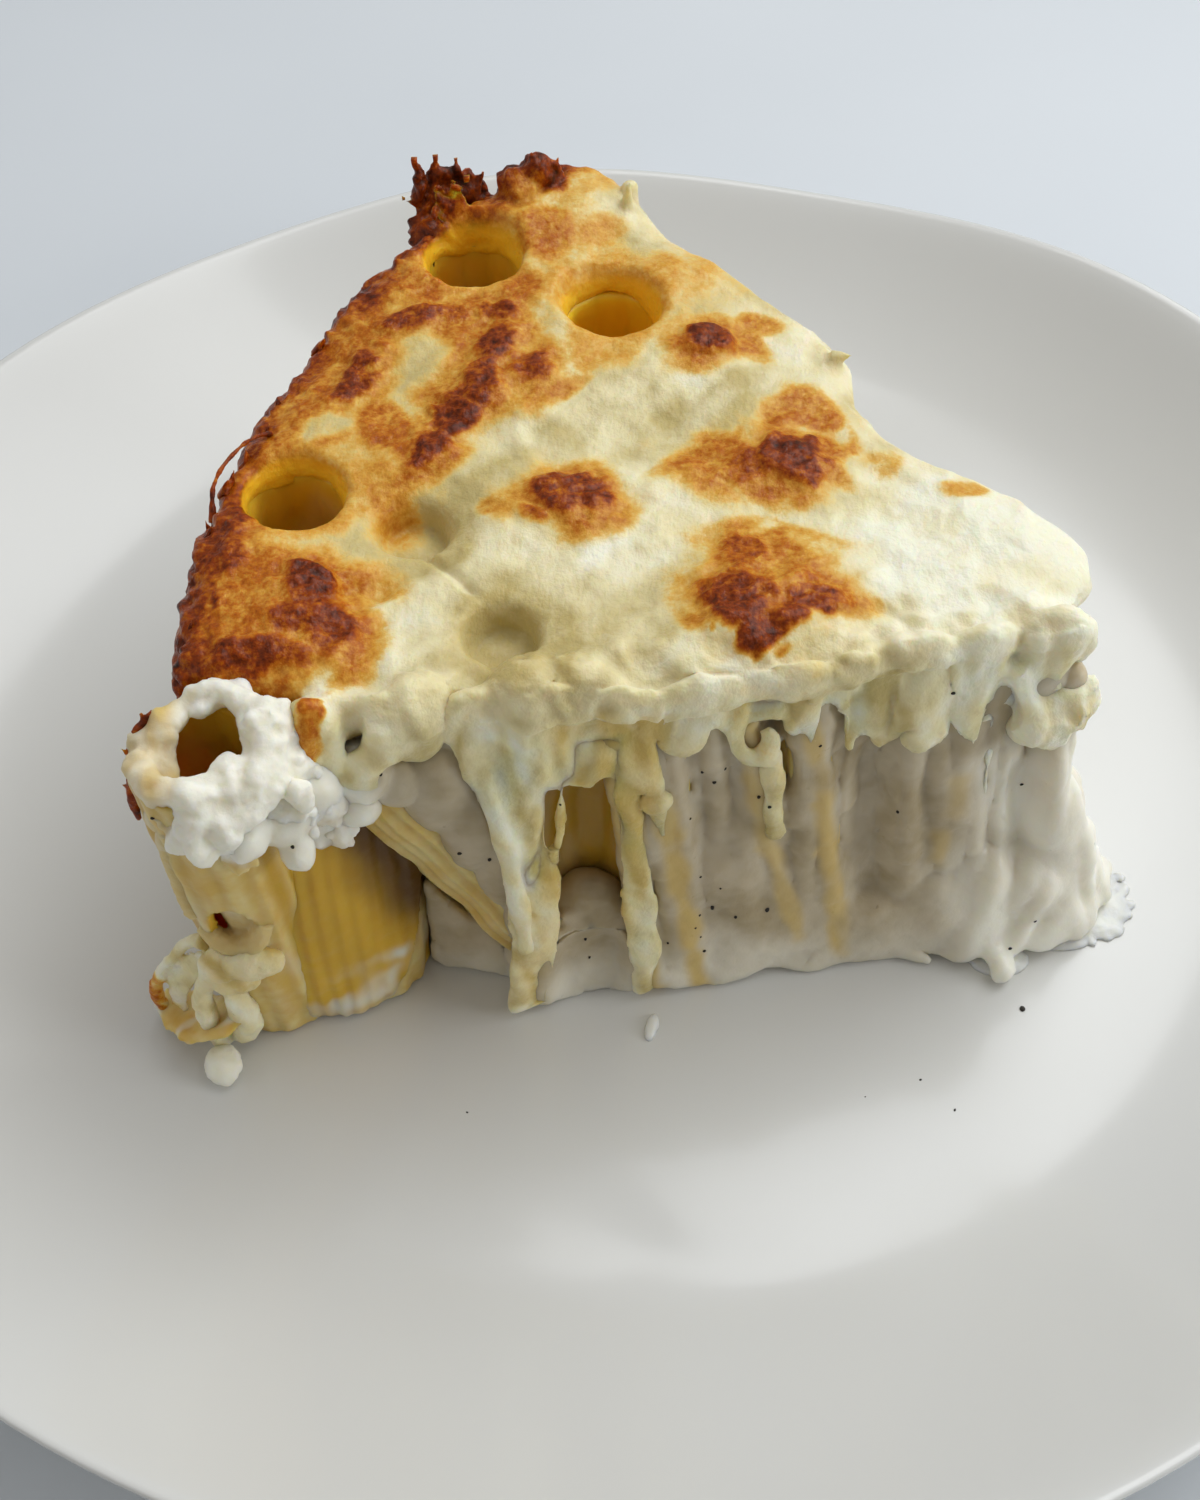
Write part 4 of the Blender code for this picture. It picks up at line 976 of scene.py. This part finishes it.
def cheeseToast(p, fromRim):
    # how brown each place is, how high it has blistered and where it is crusty
    x, y, z = p.T
    rim = faded(fromRim + 1.6 * wobble(p, 5, 2), 0.5, 13)
    gold = 0.62 * rim + 0.12 * wobble(p, 4, 3) * rim
    brown = np.zeros(len(p))
    rise = np.zeros(len(p))
    for k, (place, radii, turn, dark, height) in enumerate(brownSpots):
        core = patch(p, place, radii, turn, rag=0.26, size=2.4, seed=20 + k, edge=0.42)
        halo = [radius + 2.6 for radius in radii]
        halo = patch(p, place, halo, turn, rag=0.3, size=3.4, seed=60 + k, edge=0.5)
        brown = np.maximum(brown, dark * core)
        gold = np.maximum(gold, 0.42 * halo)
        rise = np.maximum(rise, height * core)
    for k, (place, radii, turn, deep) in enumerate(goldSpots):
        spot = patch(p, place, radii, turn, rag=0.3, size=3.6, seed=120 + k, edge=0.5)
        gold = np.maximum(gold, deep * spot)
    gold = np.maximum(gold, 0.30 * soft(16 - fromRim + 3 * wobble(p, 7, 17), 0, 18))
    gold = np.maximum(gold, (0.14 + 0.12 * wobble(p, 5, 18)) * soft(y - 0.5 * x, 6, 34))
    for place in mouths:
        ring = patch(p, place, (11.5, 11.5), rag=0.3, size=5, seed=7, edge=0.4)
        gold = np.maximum(gold, 0.28 * ring)
    for place, radii in paleSpots:
        gold *= 1 - 0.7 * patch(p, place, radii, rag=0.3, seed=8, edge=0.5)
    char = faded(fromRim, 0.4, 3) * soft(z, 40, 50)
    char = char * (0.74 + 0.16 * wobble(p, 2.2, 9)) * soft(-x, 6, 10)
    tuft = soft(z, 59.6, 62.4) * soft(-x, 6, 8.6) * soft(y, 46.6, 49.4)
    tuft *= 0.80 + 0.1 * wobble(p, 1.6, 10)
    toast = np.maximum.reduce([gold, brown, char, tuft])
    face = nearFront(p, 5.5)
    lowered = faded(z, 50, 56.5)
    raw = np.maximum(face * soft(x, -34, -28), lowered * (fromRim > 4))
    toast *= 1 - 0.78 * raw * faded(brown, 0.3, 0.6)
    strip = alongFace(p, ((-35.4, 61), (-37.6, 49))) + 0.4 * wobble(p, 2, 14)
    toast = np.maximum(toast, 0.47 * faded(strip, 1, 1.9) * (y < -40.6))
    return limited(toast), rise, np.maximum(char, tuft)


def meltWeights(p):
    # where the sheet has run smooth: over the dips, round the open tubes, in what is stretched
    x, _, z = p.T
    melt = np.zeros(len(p))
    for place in dips:
        melt = np.maximum(melt, patch(p, place, (8.5, 8.5), rag=0, edge=0.4))
    melt *= soft(z, 52, 56)
    lip = nearFront(p, 7) * (x > -30)
    for place in mouths:
        collar = patch(p, place, (9.6, 9.6), rag=0, edge=0.3)
        melt = np.maximum(melt, 0.5 * collar * soft(z, 56, 58))
    stretched = soft(x, -37, -35) * faded(x, -25, -22) * nearFront(p, 9)
    return np.maximum.reduce([0.9 * melt, 0.10 * lip, 0.5 * stretched * (z > 50)])


def shapeLip(body):
    # the lip stands only a little proud of the cut, and is uneven
    points, p = placesOf(body)
    x, y, z = p.T
    face = nearFront(p, 7)
    ahead = frontFace(x, z) - cheeseShape["proud"] - y
    ahead *= soft(x, -28, -20) * faded(x, 36, 44)
    points[:, 1] += cheeseShape["pressed"] * np.maximum(ahead, 0) * mm
    bumps = 0.8 * face * wobble(p * [1, 1, 0.45], 4, 52)
    bumps = bumps + 0.3 * face * wobble(p * [1, 1, 0.35], 1.6, 54) + 0.5 * wobble(p, 13, 53) * (z > 56)
    points += normalsOf(body) * (bumps * mm)[:, None]
    setPoints(body, points)


def makeCheesePiece():
    body = weldedCopy("cheese_top", "meltedCheese")
    body = joined([body] + cheeseShapes(), "meltedCheese")
    grained(body, cheeseShape["voxel"], cheeseShape["smooth"])
    softened(body, meltWeights(inMm(pointsOf(body))), cheeseShape["melt"])
    shapeLip(body)
    points, p = placesOf(body)
    x, y, z = p.T
    normals = normalsOf(body)
    top = soft(normals[:, 2], 0.15, 0.6) * soft(z, 50, 55)
    reach = np.hypot(x - panSide["tip"][0], y - panSide["tip"][1])
    fromRim = panSide["radius"] - reach
    toast, rise, crust = cheeseToast(p, fromRim)
    milk = 0.26 + 0.30 * wobble(p, 11, 12) + 0.20 * wobble(p, 3, 13) + 0.45 * soft(x, 18, 44)
    milk += 0.25 * faded(y, -22, 6) - 0.4 * faded(x, -34, -2) * soft(y, -32, -14)
    hanging = nearFront(p, 5.5) * faded(z + 1.5 * wobble(p, 3, 15), 54, 58)
    toRight = soft(x, -4, 3)
    milk -= hanging * (0.08 + 0.22 * toRight + 0.34 * wobble(p * [1, 1, 0.4], 2.6, 16))
    # painted shade: the cheese is darker and clearer in the dips over the open tubes
    for place in dips:
        milk -= 0.5 * patch(p, place, (7.5, 7.5), rag=0.2, size=4, seed=5, edge=0.5)
    wrinkle = ridged(p * [1, 1, 0.5], 1.25, 31)
    fold = ridged(p * [1, 0.6, 0.5], 4.6, 32)
    lift = rise * (0.85 + 0.1 * wrinkle) + 0.10 * wrinkle * soft(toast, 0.15, 0.5)
    lift += 0.16 * fold + 0.10 * wobble(p, 1.5, 33)
    crease = np.abs((x + 26) * 0.75 + (y + 15) * 0.66)
    crease = faded(crease, 0.1, 0.9) * patch(p, (-21.5, -20), (5.5, 5.5), rag=0, edge=0.3)
    points += normals * (((lift - 0.7 * crease) * top + 0.5 * crust * wobble(p, 1.5, 41)) * mm)[:, None]
    setPoints(body, points)
    drift = x + 0.7 * wobble(p * [1, 1, 0.3], 2, 19) + 0.09 * (30 - z)
    amber = 0.26 * hanging * faded(x, -7, -5) * soft(drift, -14.4, -11)
    amber = np.maximum(amber, 0.26 * hanging * faded(drift, 0.4, 2.2) * soft(x, -5, -3.6))
    for place in mouths:
        inside = faded(np.hypot(x - place[0], y - place[1]), 6.6, 7.8)
        amber = np.maximum(amber, inside * faded(normals[:, 2], 0.25, 0.7))
    paint(body, toast=toast, milk=limited(milk), amber=0.9 * amber)
    under = (z < 55.5) & (fromRim > 4) & (y > frontFace(x, z) + 8)
    thinned(body, under & (normals[:, 2] < -0.3))
    applyAll(body)
    body.data.materials.append(cheese)
    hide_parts("cheese_top")
    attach(body, "root")
    print("cheese", len(body.data.polygons))
    return body


cheeseBody = makeCheesePiece()


# crusty flakes along the pan side
flakeShape = {"seed": 23, "count": 24, "from": 131, "to": 184, "voxel": 0.22, "edge": (1.2, 0.3)}
# the thread that came loose beside the low mouth, then the scorched edge of the corner tube
flakeStraps = (
    (((-50.6, -10.4, 58.4), (-50.4, -6.4, 61), (-48.4, -1.6, 61.8), (-46, 1.6, 61.6), (-44.6, 3.4, 60.4)),
     (0.5, 0.3, 0.24, 0.28, 0.45)),
    (((-52.4, -41.8, 60.6), (-54.6, -43.4, 58.6), (-55.6, -45.2, 55), (-56.2, -46.4, 50.6),
      (-56.2, -46.6, 47.6)), (0.5, 0.7, 0.5, 0.7, 0.35)),
)
# points on that edge: place, height, lean
edgePoints = (((-53.6, -42.4, 60.4), 1.8, (-20, -20)), ((-55.8, -44.8, 57.4), 1.6, (-10, -40)),
              ((-56.6, -45.8, 52.6), 1.4, (0, -60)))


def makeFlakes():
    dice = random.Random(flakeShape["seed"])
    shapes = []
    for k in range(flakeShape["count"]):
        bearing = math.radians(dice.uniform(flakeShape["from"], flakeShape["to"]))
        reach = panSide["radius"] - dice.uniform(0.8, 2.2)
        x = panSide["tip"][0] + reach * math.cos(bearing)
        y = panSide["tip"][1] + reach * math.sin(bearing)
        tall = dice.choice((1.4, 1.8, 2.4, 3.2))
        out = (20 * math.sin(bearing) * -1 + dice.uniform(-25, 25), -22 + dice.uniform(-20, 20))
        high = 59 + 0.3 * tall + dice.uniform(-1, 0.6)
        base = dice.uniform(0.8, 1.7)
        shapes.append(spike((x, y, high), base, tall, out, 0.45, math.degrees(bearing) + 90))
    shapes += [strap(knots, radii) for knots, radii in flakeStraps]
    shapes += [spike(place, 0.7, tall, out, 0.5) for place, tall, out in edgePoints]
    flakes = joined(shapes, "rimFlakes")
    grained(flakes, flakeShape["voxel"], 1)
    uneven(flakes, "flakeEdge", *flakeShape["edge"])
    applyAll(flakes)
    toast = limited(0.72 + 0.16 * wobble(inMm(pointsOf(flakes)), 2.5, 6))
    paint(flakes, toast=toast, milk=0, amber=0)
    flakes.data.materials.append(cheese)
    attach(flakes, "root")
    print("flakes", len(flakes.data.polygons))


makeFlakes()


# ricotta curds round the corner tube
curdShape = {"voxel": 0.36, "seed": 5, "crumble": (0.9, 0.45), "lumpy": (3, 1.8), "crumb": (0.4, 1)}
curdRing = (
    (-50.6, -40.6, 59.2), (-48, -38.9, 59.8), (-43.4, -39.6, 60), (-40.6, -43.4, 58.8),
    (-40.8, -47.8, 56.6), (-43.6, -50.6, 54.6), (-47.2, -51.8, 53.2), (-49.8, -51.6, 50.8),
)
curdRingRadii = (1.2, 1.5, 1.9, 2.5, 3, 3, 2.6, 1.8)
# what is left of the tube's own wall beside the mouth and down its front
wallPaste = (
    (((-50, -40.8, 59.4), (-52, -42.6, 58.4), (-52.8, -45.4, 55.8), (-52, -48, 52.2),
      (-52.8, -48.2, 45), (-53.6, -47.8, 37), (-53.4, -48, 30)), (1.2, 2, 2.5, 2.5, 1.8, 1.2, 1.1)),
    (((-53.4, -46.6, 55), (-51.2, -49.6, 53.6), (-48.4, -51.2, 52.6), (-46, -51.6, 51.6)),
     (1.8, 2.3, 2.4, 2.2)),
    (((-53, -47.6, 27), (-50.2, -48.8, 24.4), (-47, -49.2, 25), (-44.8, -48.8, 29)),
     (1.1, 1.6, 1.6, 1.2)),
)
curdBeds = (  # middle, radii, how many crumbs
    ((-40.2, -42.8, 59), (3.6, 3.4, 3.4), 22), ((-38.2, -44.6, 54.6), (3.6, 3.2, 3.8), 26),
    ((-39.4, -47.4, 50.2), (4, 2.8, 3.6), 28), ((-46.6, -52.2, 52), (4.6, 1.8, 4), 26),
    ((-39, -47.2, 45.4), (3, 2.2, 3.8), 22), ((-35.6, -44.2, 47.6), (3, 2.8, 4.4), 22),
    ((-34.4, -44.6, 41.6), (1.9, 1.5, 3), 12), ((-44.4, -51.4, 47), (2.4, 1.4, 2.6), 10),
    ((-46, -39.2, 59.6), (4.2, 1.7, 1.4), 22), ((-53.8, -44, 58.4), (1.6, 2, 1.4), 12),
)
# big wet curds in front of the mouth
wetCurds = (((-47.4, -53, 55.4), (2.7, 1.7, 2.2)), ((-44.4, -53.2, 54), (2.1, 1.7, 2.8)),
            ((-41.8, -51.8, 55), (1.6, 1.4, 1.6)), ((-36.8, -48.8, 54.4), (1.6, 1.3, 2.2)),
            ((-49.4, -53, 52.2), (1.6, 1.3, 2.4)))
lipPaste = {"from": 165, "to": 345, "step": 20, "inward": 0.8, "reach": 8,
            "radii": (1.2, 1.4, 1.7, 1.5, 1.9, 1.7, 2.1, 2.1, 2.2, 2)}
windowPaste = {"heights": (25, 31, 38, 46), "radii": (3.2, 3.6, 3.6, 3.2), "aside": (0.4, -2.9, 0)}


def cornerPaste():
    # paste laid over the open tube's lip, and what fills the window in its wall
    tube = inMm(pointsOf(tubes["rigatoni_front_1"]))
    start, way = axisOf(tube)
    along = (tube - start) @ way
    across = tube - start - along[:, None] * way
    bearing = np.degrees(np.arctan2(across[:, 1], across[:, 0])) % 360
    lip = []
    for turn in range(lipPaste["from"], lipPaste["to"] + 1, lipPaste["step"]):
        sector = np.abs(bearing - turn) < 7
        top = np.argmax(along[sector])
        lip.append(tuple(tube[sector][top] - lipPaste["inward"] * across[sector][top] / lipPaste["reach"]))
    window = [tuple(start + way * (high - start[2]) / way[2] + np.array(windowPaste["aside"]))
              for high in windowPaste["heights"]]
    return [strap(lip, lipPaste["radii"]), strap(window, windowPaste["radii"])]


def makeCurds():
    dice = random.Random(curdShape["seed"])
    shapes = [strap(curdRing, curdRingRadii)]
    for middle, radii, count in curdBeds:
        shapes.append(lump(middle, [0.85 * r for r in radii], dice.uniform(0, 90), detail=3))
        for crumb in range(count):
            way = Vector((dice.gauss(0, 1), dice.gauss(0, 1), dice.gauss(0, 1))).normalized()
            place = [m + 0.86 * r * w for m, r, w in zip(middle, radii, way)]
            size = dice.uniform(*curdShape["crumb"])
            shapes.append(lump(place, (size, size * dice.uniform(0.7, 1), size * dice.uniform(0.6, 1)),
                               dice.uniform(0, 180), dice.uniform(-40, 40), 2))
    shapes += [lump(place, radii, 15) for place, radii in wetCurds]
    shapes += [strap(knots, radii) for knots, radii in wallPaste]
    shapes += cornerPaste()
    curds = joined(shapes, "ricottaCurds")
    grained(curds, curdShape["voxel"], 3)
    uneven(curds, "crumble", *curdShape["crumble"], depth=2)
    weigh(curds, "upper", soft(inMm(pointsOf(curds))[:, 2], 45, 50))
    uneven(curds, "lumpy", *curdShape["lumpy"], group="upper")
    applyAll(curds)
    p = inMm(pointsOf(curds))
    x, y, z = p.T
    left = faded(x + 0.9 * wobble(p, 2.4, 15), -50.8, -48) * soft(y, -53.4, -51.8)
    lower = faded(z + 1.4 * wobble(p, 3, 16), 46, 49)
    veil = np.maximum(left * (0.62 + 0.3 * wobble(p, 2, 18)), 0.86 * lower * (x < -41.5))
    middle = faded(np.hypot((x + 48.6) / 3.4, (z - 38) / 8), 0.6, 1.15)
    veil *= 1 - 0.6 * middle
    paint(curds, veil=limited(veil), thick=limited(1 - 1.3 * veil - 0.9 * lower))
    curds.data.materials.append(curd)
    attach(curds, "root")
    print("curds", len(curds.data.polygons))
    return curds


curdPiece = makeCurds()


# scraps at the foot
scrapShape = {"voxel": 0.35, "torn": (2.5, 0.9), "crumb": (1.5, 0.9)}


def makeScraps():
    torn = weldedCopy("torn_rigatoni", "tornRigatoni")
    grained(torn, scrapShape["voxel"], 4)
    uneven(torn, "torn", *scrapShape["torn"])
    applyAll(torn)
    paint(torn, inner=0, shade=0, cream=0.9 * soft(wobble(inMm(pointsOf(torn)), 4, 2), -0.1, 0.6))
    torn.data.materials.append(pasta)
    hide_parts("torn_rigatoni")
    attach(torn, "root")
    crumb = weldedCopy("ricotta_crumb", "ricottaCrumb")
    grained(crumb, scrapShape["voxel"], 2)
    uneven(crumb, "crumb", *scrapShape["crumb"], depth=2)
    applyAll(crumb)
    paint(crumb, veil=0, thick=1)
    crumb.data.materials.append(curd)
    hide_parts("ricotta_crumb")
    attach(crumb, "root")


flapShape = {"voxel": 0.32, "sheet": 0.6, "crumple": (2.2, 0.8)}
flapLumps = (((-51, -49.4, 20.4), (3.6, 1.9, 3.6), 14), ((-47.2, -50.2, 21.8), (3.9, 1.6, 3.2), 8),
             ((-50.2, -50.2, 17.4), (3, 1.4, 2.4), 8))
flapLoop = (((-53.6, -47.4, 22.4), (-55.8, -46.2, 20.8), (-58.8, -46, 16.8), (-62, -45.6, 11),
             (-63.2, -45.2, 5.6), (-62.6, -45.2, 1.4)), (1.2, 0.8, 0.7, 0.9, 0.9, 0.7))
flapSheet = (((-54.2, -47.4, 20.6), (-57.4, -46.4, 17), (-60.6, -45.8, 11), (-61.8, -45.4, 4)),
             ((-53.6, -48.6, 16.4), (-56.2, -47.8, 13.4), (-58.4, -47, 8.6), (-59.4, -46.4, 3.4)))
flapHangers = (
    (((-53.2, -49.4, 18.4), (-54.8, -49.7, 15), (-55.6, -49.8, 10), (-55.4, -49.6, 5),
      (-54.8, -49.4, 1.4)), (1.5, 1.3, 1.5, 1.3, 1.5)),
    (((-51.4, -49.8, 15), (-50.8, -49.6, 10), (-51, -49.4, 5.4), (-52, -49.2, 1.8)), (1.2, 2, 2.2, 1.4)),
)


def makeFlap():
    # the soft edge under the corner tube, a thin loop of skin and what hangs beside it
    shapes = [lump(place, radii, turn) for place, radii, turn in flapLumps]
    shapes += [strap(*flapLoop), drape(flapSheet, flapShape["sheet"])]
    shapes += [strap(knots, radii) for knots, radii in flapHangers]
    flap = joined(shapes, "cheeseFlap")
    grained(flap, flapShape["voxel"], 3)
    uneven(flap, "crumple", *flapShape["crumple"], depth=2)
    applyAll(flap)
    p = inMm(pointsOf(flap))
    x, _, z = p.T
    toast = 0.46 * faded(x + 0.9 * wobble(p, 1.6, 4), -63.4, -60.8)
    wet = soft(z, 13, 17) * soft(x, -55, -52)
    milk = limited(0.62 - 0.35 * wet + 0.35 * wobble(p, 3, 6))
    paint(flap, toast=toast, milk=milk, amber=0.16 * wet)
    flap.data.materials.append(cheese)
    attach(flap, "root")


splitSkin = {"thick": 1.3, "voxel": 0.36, "wall": (3, 0.4), "rows": (
    ((-45.6, -44.4, 42), (-41, -42.6, 42), (-36, -40, 42), (-31, -37, 42)),
    ((-46, -46.2, 28), (-40.4, -45, 28), (-34, -41.8, 28), (-27.4, -37.2, 28)),
    ((-46.2, -46.8, 15), (-40, -46, 15), (-34, -43.6, 15), (-28.2, -38.6, 15)),
    ((-45.6, -46.4, 5), (-40.2, -46.2, 4.4), (-34.8, -44.4, 4.2), (-30.2, -40.8, 6)),
    ((-45, -45.4, 0.7), (-40.2, -45.4, 0.6), (-35.8, -44, 0.6), (-32, -41.4, 0.7)),
)}


def makeSplitSkin():
    # the split tube's wall where it opens out to the front
    skin = joined([drape(splitSkin["rows"], splitSkin["thick"])], "splitTubeSkin")
    grained(skin, splitSkin["voxel"], 4)
    points, p = placesOf(skin)
    points[:, 1] += 0.13 * mm * np.cos(3 * p[:, 0]) + 0.35 * mm * wobble(p * [1, 1, 0.4], 6, 91)
    setPoints(skin, points)
    uneven(skin, "skinWall", *splitSkin["wall"])
    applyAll(skin)
    p = inMm(pointsOf(skin))
    inner = 0.62 + 0.12 * wobble(p * [1, 1, 0.25], 5, 92)
    low = faded(p[:, 2] + 3 * wobble(p, 4, 93), 5, 13) * (0.7 + 0.5 * wobble(p, 2.6, 94))
    paint(skin, inner=inner, cream=limited(low), shade=splitShade(p))
    skin.data.materials.append(pasta)
    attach(skin, "root")


makeScraps()
makeSplitSkin()
makeFlap()
print("scraps made")


# thin sauce on the plate
puddleShape = {"seed": 8, "voxel": 0.3, "thick": 0.8, "above": 0.03, "laceBubbles": 44, "skin": (1.2, 0.3),
               "middle": (61.4, -27.6), "reach": (9, 8.2)}
puddleFilms = (  # middle, radii, turn
    ((62, -27), (6.4, 7.6), -30), ((66.6, -29.8), (3.4, 3.2), 0), ((64.6, -32.6), (4.6, 2.6), -14),
    ((58.6, -35), (5, 2), -8), ((60.4, -20.6), (4, 4), 0), ((50.6, -38.4), (4.2, 2.6), 0),
    ((2.4, -48), (0.9, 2.2), -14),
)


def makePuddle():
    dice = random.Random(puddleShape["seed"])
    shapes = []
    for (x, y), (long, deep), turn in puddleFilms:
        shapes.append(lump((x, y, 0.2), (long, deep, puddleShape["thick"]), turn))
    middle, wide = puddleShape["middle"], puddleShape["reach"]
    for k in range(puddleShape["laceBubbles"]):  # bubbly lace at the outer edge
        bearing = math.radians(dice.uniform(-105, 25))
        reach = dice.uniform(0.82, 1.06)
        x = middle[0] + wide[0] * reach * math.cos(bearing)
        y = middle[1] + wide[1] * reach * math.sin(bearing)
        size = dice.uniform(0.4, 1)
        radii = (size, size * dice.uniform(0.7, 1), 0.45)
        shapes.append(lump((x, y, 0.2), radii, dice.uniform(0, 180), detail=2))
    puddle = joined(shapes, "sauceSmears")
    grained(puddle, puddleShape["voxel"], 2)
    uneven(puddle, "skin", *puddleShape["skin"], depth=2)
    applyAll(puddle)
    points = pointsOf(puddle)
    points[:, 2] = np.maximum(points[:, 2], wellTop + puddleShape["above"] * mm)
    setPoints(puddle, points)
    paint(puddle, veil=0, thick=1)
    puddle.data.materials.append(sauce)
    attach(puddle, "root")
    print("puddle", len(puddle.data.polygons))


makePuddle()


# pepper
pepperOnFace = (  # x and z on the knife's face, size
    (-21.1, 34.3, 0.34), (-17.6, 32.6, 0.26), (-8.8, 41, 0.16), (-6.3, 12.1, 0.26), (-5.8, 7.6, 0.24),
    (8.2, 41.6, 0.24), (10.9, 42, 0.2), (15.2, 37.2, 0.3), (3, 54, 0.2), (9.7, 39.8, 0.26),
    (8.5, 23.5, 0.18), (9.5, 8, 0.28), (10.3, 16.4, 0.34), (13.4, 14.6, 0.26), (8.7, 15.3, 0.2),
    (8.2, 13.4, 0.18), (8.9, 11.5, 0.16), (17.6, 14.6, 0.32), (16.5, 36.3, 0.28), (33.3, 29.9, 0.24),
    (37.2, 51.1, 0.3), (49.5, 30.1, 0.26), (22.1, 44.8, 0.18), (6.9, 34.8, 0.2), (11.1, 21.3, 0.16),
    (51.4, 4, 0.3), (54.4, 7.8, 0.26), (4.6, 10.4, 0.18), (-38.6, 47, 0.28), (-36.2, 28, 0.3),
    (-52.6, 54, 0.3), (-28.6, 52, 0.22), (-36.4, 6, 0.2),
)
pepperOnPlate = (
    (52.6, -46, 0.42), (41.4, -60.7, 0.24), (37.5, -56.3, 0.2), (30, -58.6, 0.12), (58, -8, 0.2),
    (66, -14, 0.16), (-22, -60, 0.14), (12, -70, 0.12),
)


pepperShape = {"seed": 31, "grit": (0.4, 0.12), "from": -90}


def makePepper():
    dice = random.Random(pepperShape["seed"])
    backers = [sauceBody, cheeseBody, curdPiece, tubes["rigatoni_front_1"], tubes["rigatoni_front_2"],
               tubes["rigatoni_front_3"]]
    shapes = []
    for x, z, size in pepperOnFace:
        nearest = None
        for backer in backers:
            found, spot, _, _ = backer.ray_cast(at(x, pepperShape["from"], z), Vector((0, 1, 0)))
            if found and (nearest is None or spot.y < nearest.y):
                nearest = spot.copy()
        if nearest is None:
            continue
        place = (x, nearest.y / mm, z)
        shapes.append(lump(place, (size, 0.7 * size, size * dice.uniform(0.6, 1.3)), dice.uniform(0, 180),
                           dice.uniform(0, 60), 2))
    for x, y, size in pepperOnPlate:
        shapes.append(lump((x, y, 0.4 * size), (size, size * dice.uniform(0.6, 1), 0.6 * size),
                           dice.uniform(0, 180), 0, 2))
    specks = joined(shapes, "pepperSpecks")
    uneven(specks, "grit", *pepperShape["grit"])
    applyAll(specks)
    specks.data.materials.append(pepper)
    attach(specks, "root")
    print("pepper", len(shapes))


makePepper()


# floor, light and camera
stageLook = {
    "floor": ((0.66, 0.70, 0.74), (0.70, 0.74, 0.78)), "floorSize": 6, "floorRough": 0.55,
    "floorDrop": 0.0002,
    "lights": (  # name, place, aim, size, power, colour
        ("window", (0.50, 0.42, 0.90), (0, 0, 0.02), 0.9, 8.2, (0.96, 0.985, 1)),
        ("rightFill", (0.92, -0.26, 0.34), (0.03, 0, 0.03), 0.4, 2.5, (0.97, 0.985, 1)),
        ("leftFill", (-0.80, -0.25, 0.50), (0, 0, 0.03), 0.5, 0.8, (0.97, 0.985, 1)),
    ),
    # bright above and behind, dim and warm towards the front
    "skyAxis": (0.10, 0.42, 0.90),
    "sky": [(0.22, (0.11, 0.095, 0.075)), (0.55, (0.20, 0.187, 0.167)), (1, (0.47, 0.47, 0.47))],
}


def makeFloor():
    place = (0, 0, cadBox[0].z - stageLook["floorDrop"])
    bpy.ops.mesh.primitive_plane_add(size=stageLook["floorSize"], location=place)
    floor = bpy.context.view_layer.objects.active
    floor.name = "floor"
    material, tree, shader = newMaterial("paleTable")
    deep, pale = stageLook["floor"]
    cloud = ramp(tree, noiseNode(tree, 6, 3), [(0.3, deep), (0.7, pale)])
    tree.links.new(cloud, shader.inputs["Base Color"])
    setSockets(shader, rough=stageLook["floorRough"])
    floor.data.materials.append(material)


def makeLight(name, place, aim, size, power, color):
    data = bpy.data.lights.new(name, "AREA")
    data.shape = "SQUARE"
    data.size = size
    data.energy = power
    data.color = color
    light = bpy.data.objects.new(name, data)
    scene.collection.objects.link(light)
    light.location = place
    light.rotation_euler = (Vector(aim) - Vector(place)).to_track_quat("-Z", "Y").to_euler()


def makeSky():
    world = bpy.data.worlds.new("room")
    scene.world = world
    world.use_nodes = True
    tree = world.node_tree
    where = node(tree, "ShaderNodeTexCoord")
    toward = node(tree, "ShaderNodeVectorMath", operation="DOT_PRODUCT")
    toward.inputs[1].default_value = stageLook["skyAxis"]
    tree.links.new(where.outputs["Generated"], toward.inputs[0])
    share = mathNode(tree, "MULTIPLY_ADD", toward.outputs["Value"], 0.5, 0.5)
    tree.links.new(ramp(tree, share, stageLook["sky"]), tree.nodes["Background"].inputs["Color"])
    tree.nodes["Background"].inputs["Strength"].default_value = 1
    scene.view_settings.view_transform = "Standard"


def makeStage():
    makeFloor()
    for light in stageLook["lights"]:
        makeLight(*light)
    makeSky()


cameraLook = {"place": (-0.004, -0.160, 0.210), "tilt": 38.2, "roll": -0.85, "lens": 40.8,
              "sensor": 36, "nearest": 0.01}


def makeCamera():
    data = bpy.data.cameras.new("camera")
    data.lens = cameraLook["lens"]
    data.sensor_width = cameraLook["sensor"]
    data.clip_start = cameraLook["nearest"]
    camera = bpy.data.objects.new("camera", data)
    scene.collection.objects.link(camera)
    camera.matrix_world = (Matrix.Translation(cameraLook["place"])
                           @ Matrix.Rotation(math.radians(cameraLook["tilt"]), 4, "X")
                           @ Matrix.Rotation(math.radians(cameraLook["roll"]), 4, "Z"))
    scene.camera = camera


makeStage()
makeCamera()
print("stage set")
